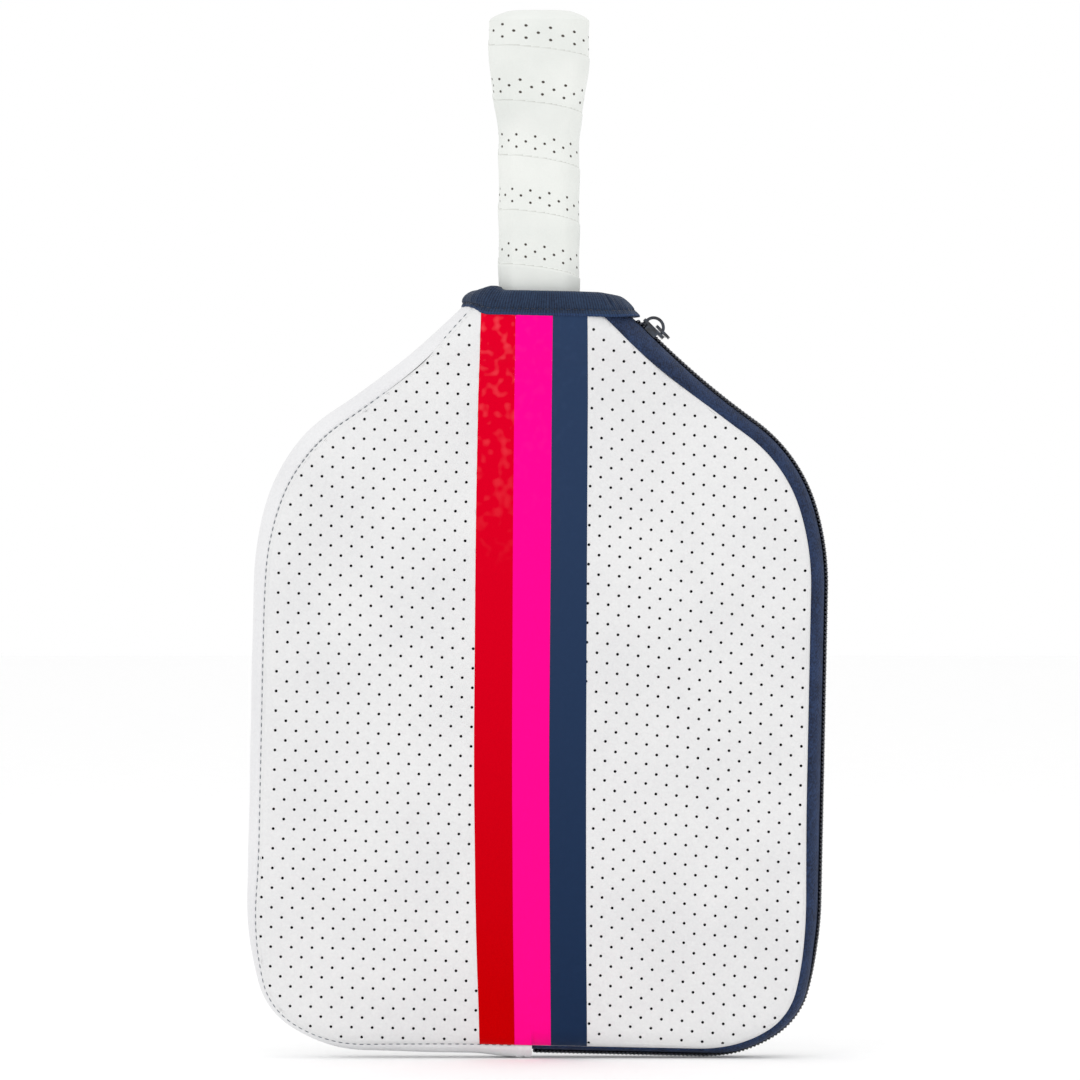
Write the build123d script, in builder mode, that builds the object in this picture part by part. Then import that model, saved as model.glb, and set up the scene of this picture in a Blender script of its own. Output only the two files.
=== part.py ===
from build123d import *
import os
from math import cos, radians, sin

os.makedirs("parts", exist_ok=True)

# Frame: +Z up along the paddle's handle, front of the cover towards -Y, zip on the +X side,
# origin on the ground under the middle of the cover. All sizes in mm.

# cover: overall shape
cover_width = 226.6
cover_height = 290.5          # bottom seam to the lower edge of the collar
neck_half = 36.5              # half the cover's width at the lower edge of the collar
bulge_start = 34.0            # the faces start to swell to the neck this far below the collar
cover_lean = 1.22             # degrees that the loose cover leans on the paddle, top to the right
cover_offset = -2.9           # bottom centre of the cover, left of the handle's axis
corner_arcs = [(56.0, 32.0), (31.0, 42.0), (132.0, 16.0)]       # radius, turn: bottom to side
shoulder_arcs = [(107.0, 18.0), (65.0, 37.5)]                   # radius, turn: side to shoulder
neck_turn = 10.5              # degrees that the shoulder steepens again towards the neck
edge_round = 9.0              # rounding of the cover's outer edge
rim_run = 20.0                # how far the walls are drawn past the lower edge of the collar
level_tilt = 10.0             # degrees: an edge less tilted than this crosses a face of the cover

# cover: layers and bands
outer_layer = 2.4             # perforated neoprene
lining_layer = 0.6            # dark jersey laminated inside
gusset_band = 5.0             # width of the gusset seen from the front
tape_band = 7.4               # width of the zip seen from the front, coil included
tape_layer = 0.8
stripe_width = 14.7
stripe_layer = 0.25
stripes_left = -24.7          # left edge of the red stripe, from the handle's axis
stripe_names = ["stripe_red", "stripe_pink", "stripe_navy"]
stripe_end_gap = 1.0          # from the bottom end of the stripes to the seam

# collar
collar_height = 9.2
collar_layer = 1.0
hem_length = 6.0
hem_layer = 0.6

# zip
coil_height = 1.95
coil_half_width = 3.0
slider_length = 10.6
slider_half_width = 4.3
slider_tail_half_width = 3.9
slider_plate = 1.2
slider_flange = 0.8
slider_from_collar = 6.8      # along the zip, to the slider's middle
bridge_half_width = 0.75
bridge_length = 2.6
crown_length = 8.8
crown_height = 4.2
crown_half_width = 0.8
crown_strip = 1.2
crown_shift = -0.4            # middle of the crown, towards the collar
pull_pivot = 3.4              # slider's middle to the axis that the pull turns on
pull_lift = 0.5               # pull above the slider's upper plate
pull_length = 14.0            # from its pivot to its tip
pull_tip_width = 4.6
pull_eye_radius = 1.9
pull_rim = 1.7
pull_thickness = 1.1

# folding front
fold_from_slider = 46.0       # along the zip, from the slider's middle to the top of the fold
fold_from_stripe = 1.6

# paddle
blade_thickness = 12.6
skin_layer = 0.8
blade_corner = 38.0
blade_shoulder = 55.0
blade_throat = 14.0
blade_turn = 53.0             # degrees that the blade's shoulder turns in
guard_rim = 2.0
guard_lip = 7.0
guard_layer = 0.7
guard_from_handle = 22.8      # upper ends of the edge guard, below the foot of the handle
handle_length = 127.0
grip_width = 31.5
grip_depth = 26.0
grip_cut = 5.6                # cut off each corner of the octagonal grip
butt_flare = 3.8              # how far the butt stands out from the grip
butt_length = 20.0
flare_length = 30.0
butt_chamfer = 4.3            # height of the chamfer round the butt's end
butt_bevel = 7.0              # width of that chamfer
cushion_layer = 1.5
overgrip_layer = 0.8
tenon_width = 14.0
tenon_depth = 10.0
tenon_from_top = 7.0
band_length = 8.0
band_layer = 0.6

# room round the paddle inside the cover
face_slack = 0.5
neck_slack = 1.0
side_slack = 11.3
toe_slack = 7.8
handle_out = 112.1            # handle that stands out of the collar

# clearances
layer_gap = 0.05              # between laminated layers
fold_gap = 0.3                # between the panels at the fold
bridge_gap = 0.25
slider_gap = 0.3
guard_gap = 0.05

# sizes that follow: the cover is drawn snug over the paddle
wall = outer_layer + lining_layer
cover_depth = blade_thickness + 2 * (guard_layer + face_slack + wall)       # over both faces
neck_depth = grip_depth + 2 * (neck_slack + collar_layer + wall)            # the same at the collar
blade_width = cover_width - 2 * (side_slack + wall)
blade_bottom = toe_slack + wall
paddle_top = cover_height + collar_height + handle_out
handle_foot = paddle_top - handle_length

# ---------------------------------------------------------------- cover frame
lean = radians(cover_lean)
bottom_radius = corner_arcs[0][0]
corner_run = 0
corner_rise = 0
heading = 0
for radius, turn in corner_arcs:
    corner_run += radius * (sin(radians(heading + turn)) - sin(radians(heading)))
    corner_rise += radius * (cos(radians(heading)) - cos(radians(heading + turn)))
    heading += turn
shoulder_run = 0
shoulder_rise = 0
for radius, turn in shoulder_arcs:
    shoulder_run += radius * (cos(radians(heading - 90)) - cos(radians(heading + turn - 90)))
    shoulder_rise += radius * (sin(radians(heading + turn - 90)) - sin(radians(heading - 90)))
    heading += turn
slope = radians(heading - 90)
steep = radians(heading - neck_turn - 90)
neck_run = cover_width / 2 - shoulder_run - neck_half
neck_radius = neck_run / (cos(steep) - cos(slope))
neck_rise = neck_radius * (sin(slope) - sin(steep))
bottom_half = cover_width / 2 - corner_run
side_length = cover_height - corner_rise - shoulder_rise - neck_rise
cover_lift = bottom_half * sin(lean) + bottom_radius * (1 - cos(lean))

cover = Plane(
    origin=(cover_offset, 0, cover_lift), x_dir=(cos(lean), 0, -sin(lean)), z_dir=(0, -1, 0)
)
cover_side = Plane(origin=cover.origin, x_dir=(0, 1, 0), z_dir=cover.x_dir)
upright = Plane(origin=(0, 0, 0), x_dir=(1, 0, 0), z_dir=(0, -1, 0))


def half_outline(inset, side):
    """Half of the cover's outline, parallel to its edge, from the bottom centre up to the neck."""
    start = (0, inset)
    edges = [Line(start, (side * bottom_half, inset))]
    for radius, turn in corner_arcs:
        edges.append(JernArc(edges[-1] @ 1, edges[-1] % 1, radius - inset, side * turn))
    edges.append(Line(edges[-1] @ 1, edges[-1] @ 1 + Vector(0, side_length)))
    for radius, turn in shoulder_arcs:
        edges.append(JernArc(edges[-1] @ 1, edges[-1] % 1, radius - inset, side * turn))
    edges.append(JernArc(edges[-1] @ 1, edges[-1] % 1, neck_radius + inset, -side * neck_turn))
    edges.append(Line(edges[-1] @ 1, edges[-1] @ 1 + (edges[-1] % 1) * rim_run))
    return edges


def outline_sketch(left_inset, right_inset):
    """Face inside the cover's outline, with its own inset on the gusset side and on the zip side."""
    with BuildSketch(cover) as outline:
        with BuildLine():
            left = half_outline(left_inset, -1)
            right = half_outline(right_inset, 1)
            Line(left[-1] @ 1, right[-1] @ 1)
            if left_inset != right_inset:
                Line((0, left_inset), (0, right_inset))
        make_face()
    return outline.sketch


def depth_sketch(inset):
    """Side view of the cover: flat faces that swell to the neck through two equal arcs."""
    rise = (neck_depth - cover_depth) / 2
    run = bulge_start
    arc_radius = (run**2 + rise**2) / (4 * rise)
    arc_turn = 2 * degrees_of(rise, run)
    top = cover_height + rim_run
    flat = cover_depth / 2 - inset
    with BuildSketch(cover_side) as side_view:
        with BuildLine():
            face = Line((flat, -edge_round), (flat, cover_height - run))
            out = JernArc(face @ 1, face % 1, arc_radius + inset, -arc_turn)
            back = JernArc(out @ 1, out % 1, arc_radius - inset, arc_turn)
            rim = Line(back @ 1, ((back @ 1).X, top))
            Line(rim @ 1, (0, top))
            Line((0, -edge_round), face @ 0)
            mirror(about=Plane.YZ)
        make_face()
    return side_view.sketch


def degrees_of(rise, run):
    """Angle of a slope in degrees."""
    return Vector(run, rise).get_angle(Vector(1, 0))


def crosses_face(edge):
    """True for an edge that runs across the upper half of a face, and isn't on its rim."""
    tilt = (edge % 0.5).get_angle(cover.x_dir)
    height = cover.to_local_coords(edge.center()).Y
    return min(tilt, 180 - tilt) < level_tilt and height > cover_height / 2


def pillow(inset, zip_inset):
    """Closed body of the cover inside a wall of this thickness, with rounded outer edges."""
    with BuildPart() as body:
        extrude(outline_sketch(inset, inset + zip_inset), amount=neck_depth, both=True)
        extrude(depth_sketch(inset), amount=cover_width, both=True, mode=Mode.INTERSECT)
        face_depth = cover_depth / 2 - inset - layer_gap
        face_edges = body.edges().filter_by(lambda edge: abs(edge.center().Y) > face_depth)
        rim = face_edges.filter_by(lambda edge: not crosses_face(edge))
        fillet(rim, radius=edge_round - inset)
    return body.part


def prism(sketch, amount, both=False):
    """Solid made from a sketch, towards the front of the cover or both ways."""
    with BuildPart() as solid:
        extrude(sketch, amount=amount, both=both)
    return solid.part


def polygon_sketch(*points):
    """Face of the cover's plane with straight edges through these points."""
    with BuildSketch(cover) as outline:
        with BuildLine():
            Polyline(*points, close=True)
        make_face()
    return outline.sketch


def save(part, name):
    """Labels a finished piece and writes it under its node's name."""
    part.label = name
    export_step(part, f"parts/{name}.step")


def cut_from(base, *tools):
    """Base with each tool taken away."""
    with BuildPart() as piece:
        add(base)
        for tool in tools:
            add(tool, mode=Mode.SUBTRACT)
    return piece.part


def common_of(base, *tools):
    """What base shares with every tool."""
    with BuildPart() as piece:
        add(base)
        for tool in tools:
            add(tool, mode=Mode.INTERSECT)
    return piece.part


# ---------------------------------------------------------------- cover bodies and cutting shapes
far = cover_width
outer_body = pillow(0, coil_height)
inner_face = pillow(outer_layer, coil_height)
lining_face = pillow(outer_layer + layer_gap, coil_height)
cavity = pillow(wall, coil_height)
seam_prism = prism(outline_sketch(gusset_band, tape_band), neck_depth)
seam_prism_back = prism(outline_sketch(gusset_band, tape_band), -neck_depth)

top_cut = cover_height + collar_height - collar_layer
body_sketch = polygon_sketch((-far, -far), (far, -far), (far, top_cut), (-far, top_cut))
body_slab = prism(body_sketch, neck_depth, both=True)

zip_arc = half_outline(0, 1)[-2]


def zip_point(from_collar):
    """Point of the zip's outer edge at this distance below the collar, in the cover's plane."""
    return zip_arc @ (1 - from_collar / zip_arc.length)


fold_top = zip_point(slider_from_collar + fold_from_slider)
fold_foot = Vector(stripes_left + 3 * stripe_width + fold_from_stripe - cover_offset, 0)
fold_line = (fold_top - fold_foot).normalized()
fold_out = Vector(fold_line.Y, -fold_line.X)


def beyond_fold(gap):
    """Face of everything on the zip side of the fold, from this distance beyond it."""
    low = fold_foot - fold_line * far + fold_out * gap
    high = fold_top + fold_out * gap
    return polygon_sketch(low, high, high + fold_out * far, low + fold_out * far)


flap_prism = prism(beyond_fold(fold_gap / 2), neck_depth)
fixed_cut = prism(beyond_fold(-fold_gap / 2), neck_depth)

# ---------------------------------------------------------------- front and back panels
full_wall = cut_from(outer_body, cavity)
shell = common_of(cut_from(outer_body, inner_face), body_slab)
lining_shell = common_of(cut_from(lining_face, cavity), body_slab)

front_sheet = common_of(shell, seam_prism)
front_panel = cut_from(front_sheet, fixed_cut)
save(front_panel, "front_panel")
front_flap = common_of(front_sheet, flap_prism)
save(front_flap, "front_flap")
back_panel = common_of(shell, seam_prism_back)
save(back_panel, "back_panel")

front_lining_sheet = common_of(lining_shell, seam_prism)
save(cut_from(front_lining_sheet, fixed_cut), "front_lining")
save(common_of(front_lining_sheet, flap_prism), "flap_lining")
save(common_of(lining_shell, seam_prism_back), "back_lining")

# ---------------------------------------------------------------- stripes: thin vinyl film on the front
film_body = pillow(-stripe_layer, coil_height)
film_ends = prism(outline_sketch(gusset_band + stripe_end_gap, tape_band + stripe_end_gap), neck_depth)
film_sketch = polygon_sketch((-far, 0), (far, 0), (far, cover_height), (-far, cover_height))
film_slab = prism(film_sketch, neck_depth)
film_shell = common_of(cut_from(film_body, outer_body), film_ends, film_slab)
for number, name in enumerate(stripe_names):
    with BuildPart() as strip:
        with BuildSketch(upright):
            with Locations((stripes_left + number * stripe_width, 0)):
                Rectangle(stripe_width, 2 * cover_height, align=(Align.MIN, Align.CENTER))
        extrude(amount=neck_depth)
        add(film_shell, mode=Mode.INTERSECT)
    save(strip.part, name)

# ---------------------------------------------------------------- gusset round the left side
seam_both = prism(outline_sketch(gusset_band - layer_gap, tape_band - layer_gap), neck_depth, both=True)
left_sketch = polygon_sketch((-far, -far), (0, -far), (0, top_cut), (-far, top_cut))
left_half = prism(left_sketch, neck_depth, both=True)
gusset = common_of(cut_from(full_wall, seam_both), left_half)
save(gusset, "side_gusset")

hem_body = pillow(-hem_layer, coil_height)
hem_sketch = polygon_sketch((-hem_length, -far), (0, -far), (0, gusset_band), (-hem_length, gusset_band))
hem_strip = prism(hem_sketch, (cover_depth - edge_round) / 2, both=True)
save(common_of(cut_from(hem_body, outer_body), hem_strip), "gusset_end_hem")

# ---------------------------------------------------------------- zip tapes and coils
right_sketch = polygon_sketch((layer_gap, -far), (far, -far), (far, top_cut), (layer_gap, top_cut))
right_half = prism(right_sketch, neck_depth, both=True)
tape_inner = pillow(tape_layer, coil_height)
tape_wall = common_of(cut_from(outer_body, tape_inner, seam_both), right_half)
tape_edge = bridge_half_width + bridge_gap


def depth_slab(low, high):
    """Everything between two depths, measured forward from the middle of the cover."""
    with BuildPart() as slab:
        with BuildSketch(cover.offset(low)):
            Rectangle(4 * far, 4 * far)
        extrude(amount=high - low)
    return slab.part


front_slab = depth_slab(tape_edge, neck_depth)
back_slab = depth_slab(-neck_depth, -tape_edge)
tape_front = common_of(tape_wall, front_slab)
save(common_of(tape_front, flap_prism), "zip_tape_front")
save(cut_from(tape_front, fixed_cut), "zip_tape_front_fixed")
save(common_of(tape_wall, back_slab), "zip_tape_back")


with BuildSketch(cover) as coil_band:
    with BuildLine():
        coil_outside = half_outline(0, 1)
        coil_inside = half_outline(coil_height - layer_gap, 1)
        Line(coil_outside[0] @ 0, coil_inside[0] @ 0)
        Line(coil_outside[-1] @ 1, coil_inside[-1] @ 1)
    make_face()
top = cover_height
coil_sketch = polygon_sketch((layer_gap, -far), (far, -far), (far, top), (layer_gap, top))
under_collar = prism(coil_sketch, neck_depth, both=True)
coil_prism = common_of(prism(coil_band.sketch, neck_depth, both=True), under_collar)
coil_front = common_of(coil_prism, depth_slab(tape_edge, coil_half_width))
save(common_of(coil_front, flap_prism), "zip_coil_front")
save(cut_from(coil_front, fixed_cut), "zip_coil_front_fixed")
save(common_of(coil_prism, depth_slab(-coil_half_width, -tape_edge)), "zip_coil_back")

# ---------------------------------------------------------------- collar: elastic binding folded over the rim
rim = cover_height + collar_height
collar_sketch = polygon_sketch((-far, top), (far, top), (far, rim), (-far, rim))
collar_slab = prism(collar_sketch, neck_depth, both=True)
collar_outer = pillow(-collar_layer, coil_height)
collar_inner = pillow(wall + collar_layer, coil_height)
rim_space = common_of(full_wall, body_slab)
collar = common_of(cut_from(collar_outer, collar_inner, rim_space), collar_slab)
save(collar, "collar_binding")

# ---------------------------------------------------------------- slider and pull
# The slider's plane lies on the coils: x runs down the zip, y to the back of the cover, z outwards.
slider_at = 1 - slider_from_collar / zip_arc.length
zip_up = zip_arc % slider_at
slider_origin = cover.from_local_coords(zip_arc @ slider_at)
zip_down = cover.from_local_coords(-zip_up) - cover.origin
zip_out = cover.from_local_coords(Vector(zip_up.Y, -zip_up.X)) - cover.origin
slider_plane = Plane(origin=slider_origin, x_dir=zip_down, z_dir=zip_out)
crown_plane = Plane(origin=slider_origin, x_dir=zip_down, z_dir=-slider_plane.y_dir)
plate_top = slider_gap + slider_plate
under_tape = -(coil_height + tape_layer + 2.5 * slider_gap)
nose = -slider_length / 2

with BuildSketch(slider_plane) as plate:
    with BuildLine():
        Polyline((nose, slider_half_width), (0, slider_half_width),
                 (-nose, slider_tail_half_width), (-nose, -slider_tail_half_width),
                 (0, -slider_half_width), (nose, -slider_half_width), close=True)
    make_face()
    fillet(plate.vertices(), radius=slider_flange)

with BuildPart() as slider_body:
    extrude(plate.sketch.moved(Location(zip_out * slider_gap)), amount=slider_plate)
    extrude(plate.sketch.moved(Location(zip_out * under_tape)), amount=-slider_plate)
    with BuildSketch(slider_plane.offset(slider_gap)):
        for side in (-1, 1):
            with Locations((0, side * (slider_half_width - slider_flange / 2))):
                Rectangle(slider_length / 2, slider_flange)
    extrude(amount=-coil_height)
    with BuildSketch(slider_plane.offset(slider_gap)):
        with Locations((nose + bridge_length / 2 + slider_flange / 2, 0)):
            SlotOverall(bridge_length, 2 * bridge_half_width)
    extrude(amount=under_tape - slider_gap)
save(slider_body.part, "slider_body")

with BuildPart() as slider_crown:
    with BuildSketch(crown_plane):
        with Locations((crown_shift, plate_top)):
            Ellipse(crown_length / 2, crown_height)
            Ellipse(crown_length / 2 - crown_strip, crown_height - crown_strip, mode=Mode.SUBTRACT)
            Rectangle(2 * crown_length, crown_height, align=(Align.CENTER, Align.MIN), mode=Mode.INTERSECT)
    extrude(amount=crown_half_width, both=True)
save(slider_crown.part, "slider_crown")

with BuildPart() as pull_tab:
    with BuildSketch(slider_plane.offset(plate_top + pull_lift)):
        with Locations((pull_pivot, 0)):
            Circle(pull_eye_radius + pull_rim)
        with BuildLine():
            Polyline((pull_pivot - pull_eye_radius, 0), (pull_pivot + pull_eye_radius, 0),
                     (pull_pivot + pull_tip_width / 2, pull_length),
                     (pull_pivot - pull_tip_width / 2, pull_length), close=True)
        make_face()
        with Locations((pull_pivot, 0)):
            Circle(pull_eye_radius, mode=Mode.SUBTRACT)
    extrude(amount=pull_thickness)
    fillet(pull_tab.edges().filter_by(Axis(slider_origin, zip_out)).sort_by(Axis.Y)[-2:], radius=pull_rim)
save(pull_tab.part, "pull_tab")

# ---------------------------------------------------------------- paddle
throat_half = grip_width / 2 - overgrip_layer - cushion_layer
turn = radians(blade_turn)
slope_run = blade_width / 2 - throat_half - (blade_shoulder + blade_throat) * (1 - cos(turn))
slope_length = slope_run / sin(turn)
blade_side = (handle_foot - blade_bottom - blade_corner - slope_length * cos(turn)
              - (blade_shoulder + blade_throat) * sin(turn))


def blade_sketch(inset, top=handle_foot):
    """Face of the paddle's blade, parallel to its edge, up to the foot of the handle."""
    with BuildSketch(upright) as blade:
        with BuildLine():
            base = Line((0, blade_bottom + inset), (blade_width / 2 - blade_corner, blade_bottom + inset))
            corner = JernArc(base @ 1, base % 1, blade_corner - inset, 90)
            edge = Line(corner @ 1, corner @ 1 + Vector(0, blade_side))
            shoulder = JernArc(edge @ 1, edge % 1, blade_shoulder - inset, blade_turn)
            incline = Line(shoulder @ 1, shoulder @ 1 + (shoulder % 1) * slope_length)
            throat = JernArc(incline @ 1, incline % 1, blade_throat + inset, -blade_turn)
            Line(throat @ 1, (0, handle_foot))
            mirror(about=Plane.YZ)
        make_face()
        with Locations((0, top)):
            Rectangle(2 * blade_width, 2 * blade_width, align=(Align.CENTER, Align.MIN), mode=Mode.SUBTRACT)
    return blade.sketch


core_half = blade_thickness / 2 - skin_layer
blade_core = prism(blade_sketch(guard_rim), core_half, both=True)
save(blade_core, "paddle_core")
skins = cut_from(prism(blade_sketch(guard_rim), blade_thickness / 2, both=True), blade_core)
ahead = Plane(origin=(0, 0, 0), z_dir=(0, -1, 0))
for name, side in (("paddle_face_front", Keep.TOP), ("paddle_face_back", Keep.BOTTOM)):
    with BuildPart() as skin:
        add(skins)
        split(bisect_by=ahead, keep=side)
    save(skin.part, name)

guard_half = blade_thickness / 2 + guard_layer
guard_outer = prism(blade_sketch(0, handle_foot - guard_from_handle), guard_half, both=True)
guard_window = prism(blade_sketch(guard_lip, handle_foot), 2 * guard_half, both=True)
slot_half = blade_thickness / 2 + guard_gap
guard_slot = prism(blade_sketch(guard_rim - guard_gap, handle_foot), slot_half, both=True)
save(cut_from(guard_outer, guard_window, guard_slot), "paddle_edge_guard")


def grip_body(inset, foot=handle_foot):
    """Octagonal handle with a flared butt, inside a wrap of this thickness."""
    top = paddle_top - inset
    levels = [
        (foot, 0),
        (paddle_top - butt_length - flare_length, 0),
        (paddle_top - butt_length, butt_flare),
        (paddle_top - butt_chamfer, butt_flare),
        (top, butt_flare - butt_bevel),
    ]
    with BuildPart() as body:
        for level, flare in levels:
            with BuildSketch(Plane.XY.offset(level)):
                across = Rectangle(grip_width + 2 * (flare - inset), grip_depth + 2 * (flare - inset))
                chamfer(across.vertices(), length=grip_cut)
        loft(ruled=True)
    return body.part


def level_slab(low, high):
    """Everything between two heights above the ground."""
    with BuildPart() as slab:
        with BuildSketch(Plane.XY.offset(low)):
            Rectangle(2 * cover_width, 2 * cover_width)
        extrude(amount=high - low)
    return slab.part


wrap_inside = grip_body(overgrip_layer)
cushion_inside = grip_body(overgrip_layer + cushion_layer)
cap_foot = paddle_top - butt_length - flare_length / 2
cap_disc = paddle_top - butt_chamfer
with BuildPart() as tenon:
    with BuildSketch(Plane.XY.offset(cap_foot)):
        Rectangle(tenon_width, tenon_depth)
    extrude(amount=paddle_top - tenon_from_top - cap_foot)

save(cut_from(grip_body(0), wrap_inside), "paddle_overgrip")
cushion = common_of(cut_from(wrap_inside, cushion_inside), level_slab(handle_foot, cap_disc))
save(cushion, "paddle_cushion_grip")
with BuildPart() as butt_cap:
    add(common_of(cushion_inside, level_slab(cap_foot, cap_disc)))
    add(common_of(wrap_inside, level_slab(cap_disc, paddle_top)))
    add(tenon.part, mode=Mode.SUBTRACT)
save(butt_cap.part, "paddle_butt_cap")
with BuildPart() as handle_core:
    add(common_of(cushion_inside, level_slab(handle_foot, cap_foot)))
    add(tenon.part)
save(handle_core.part, "paddle_handle_core")

with BuildPart() as grip_band:
    with BuildSketch(Plane.XY.offset(handle_foot)):
        band = Rectangle(grip_width + 2 * band_layer, grip_depth + 2 * band_layer)
        chamfer(band.vertices(), length=grip_cut)
    extrude(amount=band_length)
    add(grip_body(0, handle_foot), mode=Mode.SUBTRACT)
save(grip_band.part, "paddle_grip_band")

# ---------------------------------------------------------------- joint frames, for the record
arc_centre = cover.from_local_coords(zip_arc.arc_center)
fold_at = cover.from_local_coords(Vector(fold_foot.X, fold_foot.Y, cover_depth / 2))
fold_axis = cover.from_local_coords(fold_line) - cover.origin
pull_at = slider_plane.from_local_coords(Vector(pull_pivot, 0, plate_top + pull_lift))
print("slider arc centre", arc_centre, "radius", zip_arc.radius)
print("fold point", fold_at, "axis", fold_axis)
print("pull point", pull_at, "axis", zip_out)
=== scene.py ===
import math
import bpy
import numpy as np
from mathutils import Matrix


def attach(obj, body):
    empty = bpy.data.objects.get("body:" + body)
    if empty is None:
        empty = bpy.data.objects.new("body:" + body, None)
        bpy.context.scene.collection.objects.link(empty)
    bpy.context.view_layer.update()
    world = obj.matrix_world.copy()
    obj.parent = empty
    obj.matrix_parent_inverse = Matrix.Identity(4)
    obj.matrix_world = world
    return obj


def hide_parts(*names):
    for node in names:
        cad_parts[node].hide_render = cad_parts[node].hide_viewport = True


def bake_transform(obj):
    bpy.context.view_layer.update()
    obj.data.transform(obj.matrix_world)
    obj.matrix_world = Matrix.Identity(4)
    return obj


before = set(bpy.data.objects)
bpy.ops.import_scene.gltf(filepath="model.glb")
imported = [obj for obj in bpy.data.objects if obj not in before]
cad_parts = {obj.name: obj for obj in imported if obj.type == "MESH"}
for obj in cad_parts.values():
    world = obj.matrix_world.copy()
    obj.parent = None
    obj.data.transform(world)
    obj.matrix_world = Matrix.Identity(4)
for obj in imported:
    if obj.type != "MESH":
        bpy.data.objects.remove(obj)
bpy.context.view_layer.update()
print("frame loaded,", len(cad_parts), "nodes")

mm = 0.001

# ---- camera and stage
view = {"frameWidth": 0.4255, "distance": 2.6, "middle": (0.0004, 0.2037), "sensor": 36.0}
camera = bpy.data.objects.new("camera", bpy.data.cameras.new("camera"))
bpy.context.scene.collection.objects.link(camera)
camera.location = (view["middle"][0], -view["distance"], view["middle"][1])
camera.rotation_euler = (math.pi / 2, 0, 0)
camera.data.sensor_width = view["sensor"]
camera.data.lens = view["sensor"] * view["distance"] / view["frameWidth"]
camera.data.clip_end = 50
bpy.context.scene.camera = camera

# ---- shape of the case, in mm: u runs across the case, w up it from the bottom seam
case = {
    "width": 226.6, "height": 290.5, "faceDepth": 21.0, "neckDepth": 36.0, "neckHalf": 36.5,
    "bulge": 34.0, "lean": math.radians(1.22), "offset": -2.9, "edgeRound": 9.0, "neckRound": 15.0,
    "cornerArcs": ((56, 32), (31, 42), (132, 16)), "shoulderArcs": ((107, 18), (65, 37.5)),
    "neckTurn": 10.5, "rimRun": 16.0, "wall": 3.0,
}


def smooth(low, high, x):  # eased ramp from 0 at low to 1 at high
    t = np.clip((np.asarray(x, float) - low) / (high - low), 0, 1)
    return t * t * (3 - 2 * t)


def layEdge(shape):
    # half of the case's edge as runs of constant curvature, tangent to each other, from the
    # bottom centre to the collar: the straight bottom and side take up what the arcs leave
    heading, rows = 0.0, []
    reach = {}
    for name in ("cornerArcs", "shoulderArcs"):
        across = rise = 0.0
        for radius, turn in shape[name]:
            turn = math.radians(turn)
            across += radius * (math.sin(heading + turn) - math.sin(heading))
            rise += radius * (math.cos(heading) - math.cos(heading + turn))
            heading += turn
            rows.append((radius * turn, 1 / radius))
        reach[name] = (across, rise)
    slope = heading - math.pi / 2
    steep = slope - math.radians(shape["neckTurn"])
    neckRun = shape["width"] / 2 + reach["shoulderArcs"][0] - shape["neckHalf"]
    neckRadius = neckRun / (math.cos(steep) - math.cos(slope))
    neckRise = neckRadius * (math.sin(slope) - math.sin(steep))
    bottom = shape["width"] / 2 - reach["cornerArcs"][0]
    side = shape["height"] - reach["cornerArcs"][1] - reach["shoulderArcs"][1] - neckRise
    corners = len(shape["cornerArcs"])
    rows.insert(corners, (side, 0.0))
    rows.insert(0, (bottom, 0.0))
    rows += [(neckRadius * math.radians(shape["neckTurn"]), -1 / neckRadius), (shape["rimRun"], 0.0)]
    starts, at = [], (0.0, 0.0, 0.0, 0.0)
    for length, bend in rows:
        starts.append(at)
        half = bend * length / 2
        chord = length * float(np.sinc(half / math.pi))
        at = (at[0] + length, at[1] + chord * math.cos(at[3] + half),
              at[2] + chord * math.sin(at[3] + half), at[3] + bend * length)
    table = np.array([start + row for start, row in zip(starts, rows)])
    return dict(zip(("s", "u", "w", "heading", "length", "bend"), table.T))


edge = layEdge(case)
edgeLength = edge["s"][-1]  # bottom centre to the collar's lower edge
underCollar = edgeLength + 15  # where the strips and seams end, out of sight inside the collar
caseLift = (edge["length"][0] * math.sin(case["lean"])
            + case["cornerArcs"][0][0] * (1 - math.cos(case["lean"])))


def edgeAt(s, inset):
    # point on the edge at arc length s, moved inwards by inset along the edge's normal
    s, inset = np.broadcast_arrays(np.asarray(s, float), np.asarray(inset, float))
    k = np.clip(np.searchsorted(edge["s"], s, side="right") - 1, 0, len(edge["s"]) - 1)
    run = s - edge["s"][k]
    half = edge["bend"][k] * run / 2
    chord = run * np.sinc(half / math.pi)
    turned = edge["heading"][k] + half
    heading = turned + half
    u = edge["u"][k] + chord * np.cos(turned) - inset * np.sin(heading)
    w = edge["w"][k] + chord * np.sin(turned) + inset * np.cos(heading)
    return u, w


def insetOf(u, w):
    # signed distance inwards from the nearest run of the edge, and the arc length there
    u, w = np.broadcast_arrays(np.abs(np.asarray(u, float)), np.asarray(w, float))
    inset, along = np.full(u.shape, 1e3), np.full(u.shape, edgeLength)
    for s0, u0, w0, heading, length, bend in zip(*edge.values()):
        if bend == 0:
            run = (u - u0) * math.cos(heading) + (w - w0) * math.sin(heading)
            gap = (w - w0) * math.cos(heading) - (u - u0) * math.sin(heading)
        else:
            cu, cw = u0 - math.sin(heading) / bend, w0 + math.cos(heading) / bend
            angle = np.arctan2(w - cw, u - cu) - math.atan2(w0 - cw, u0 - cu)
            angle = (angle + math.pi) % (2 * math.pi) - math.pi
            run = angle / bend
            gap = math.copysign(1, bend) * (1 / abs(bend) - np.hypot(u - cu, w - cw))
        near = (run > -0.01) & (run < length + 0.01) & (np.abs(gap) < np.abs(inset))
        inset, along = np.where(near, gap, inset), np.where(near, s0 + run, along)
    return inset, along


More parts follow.
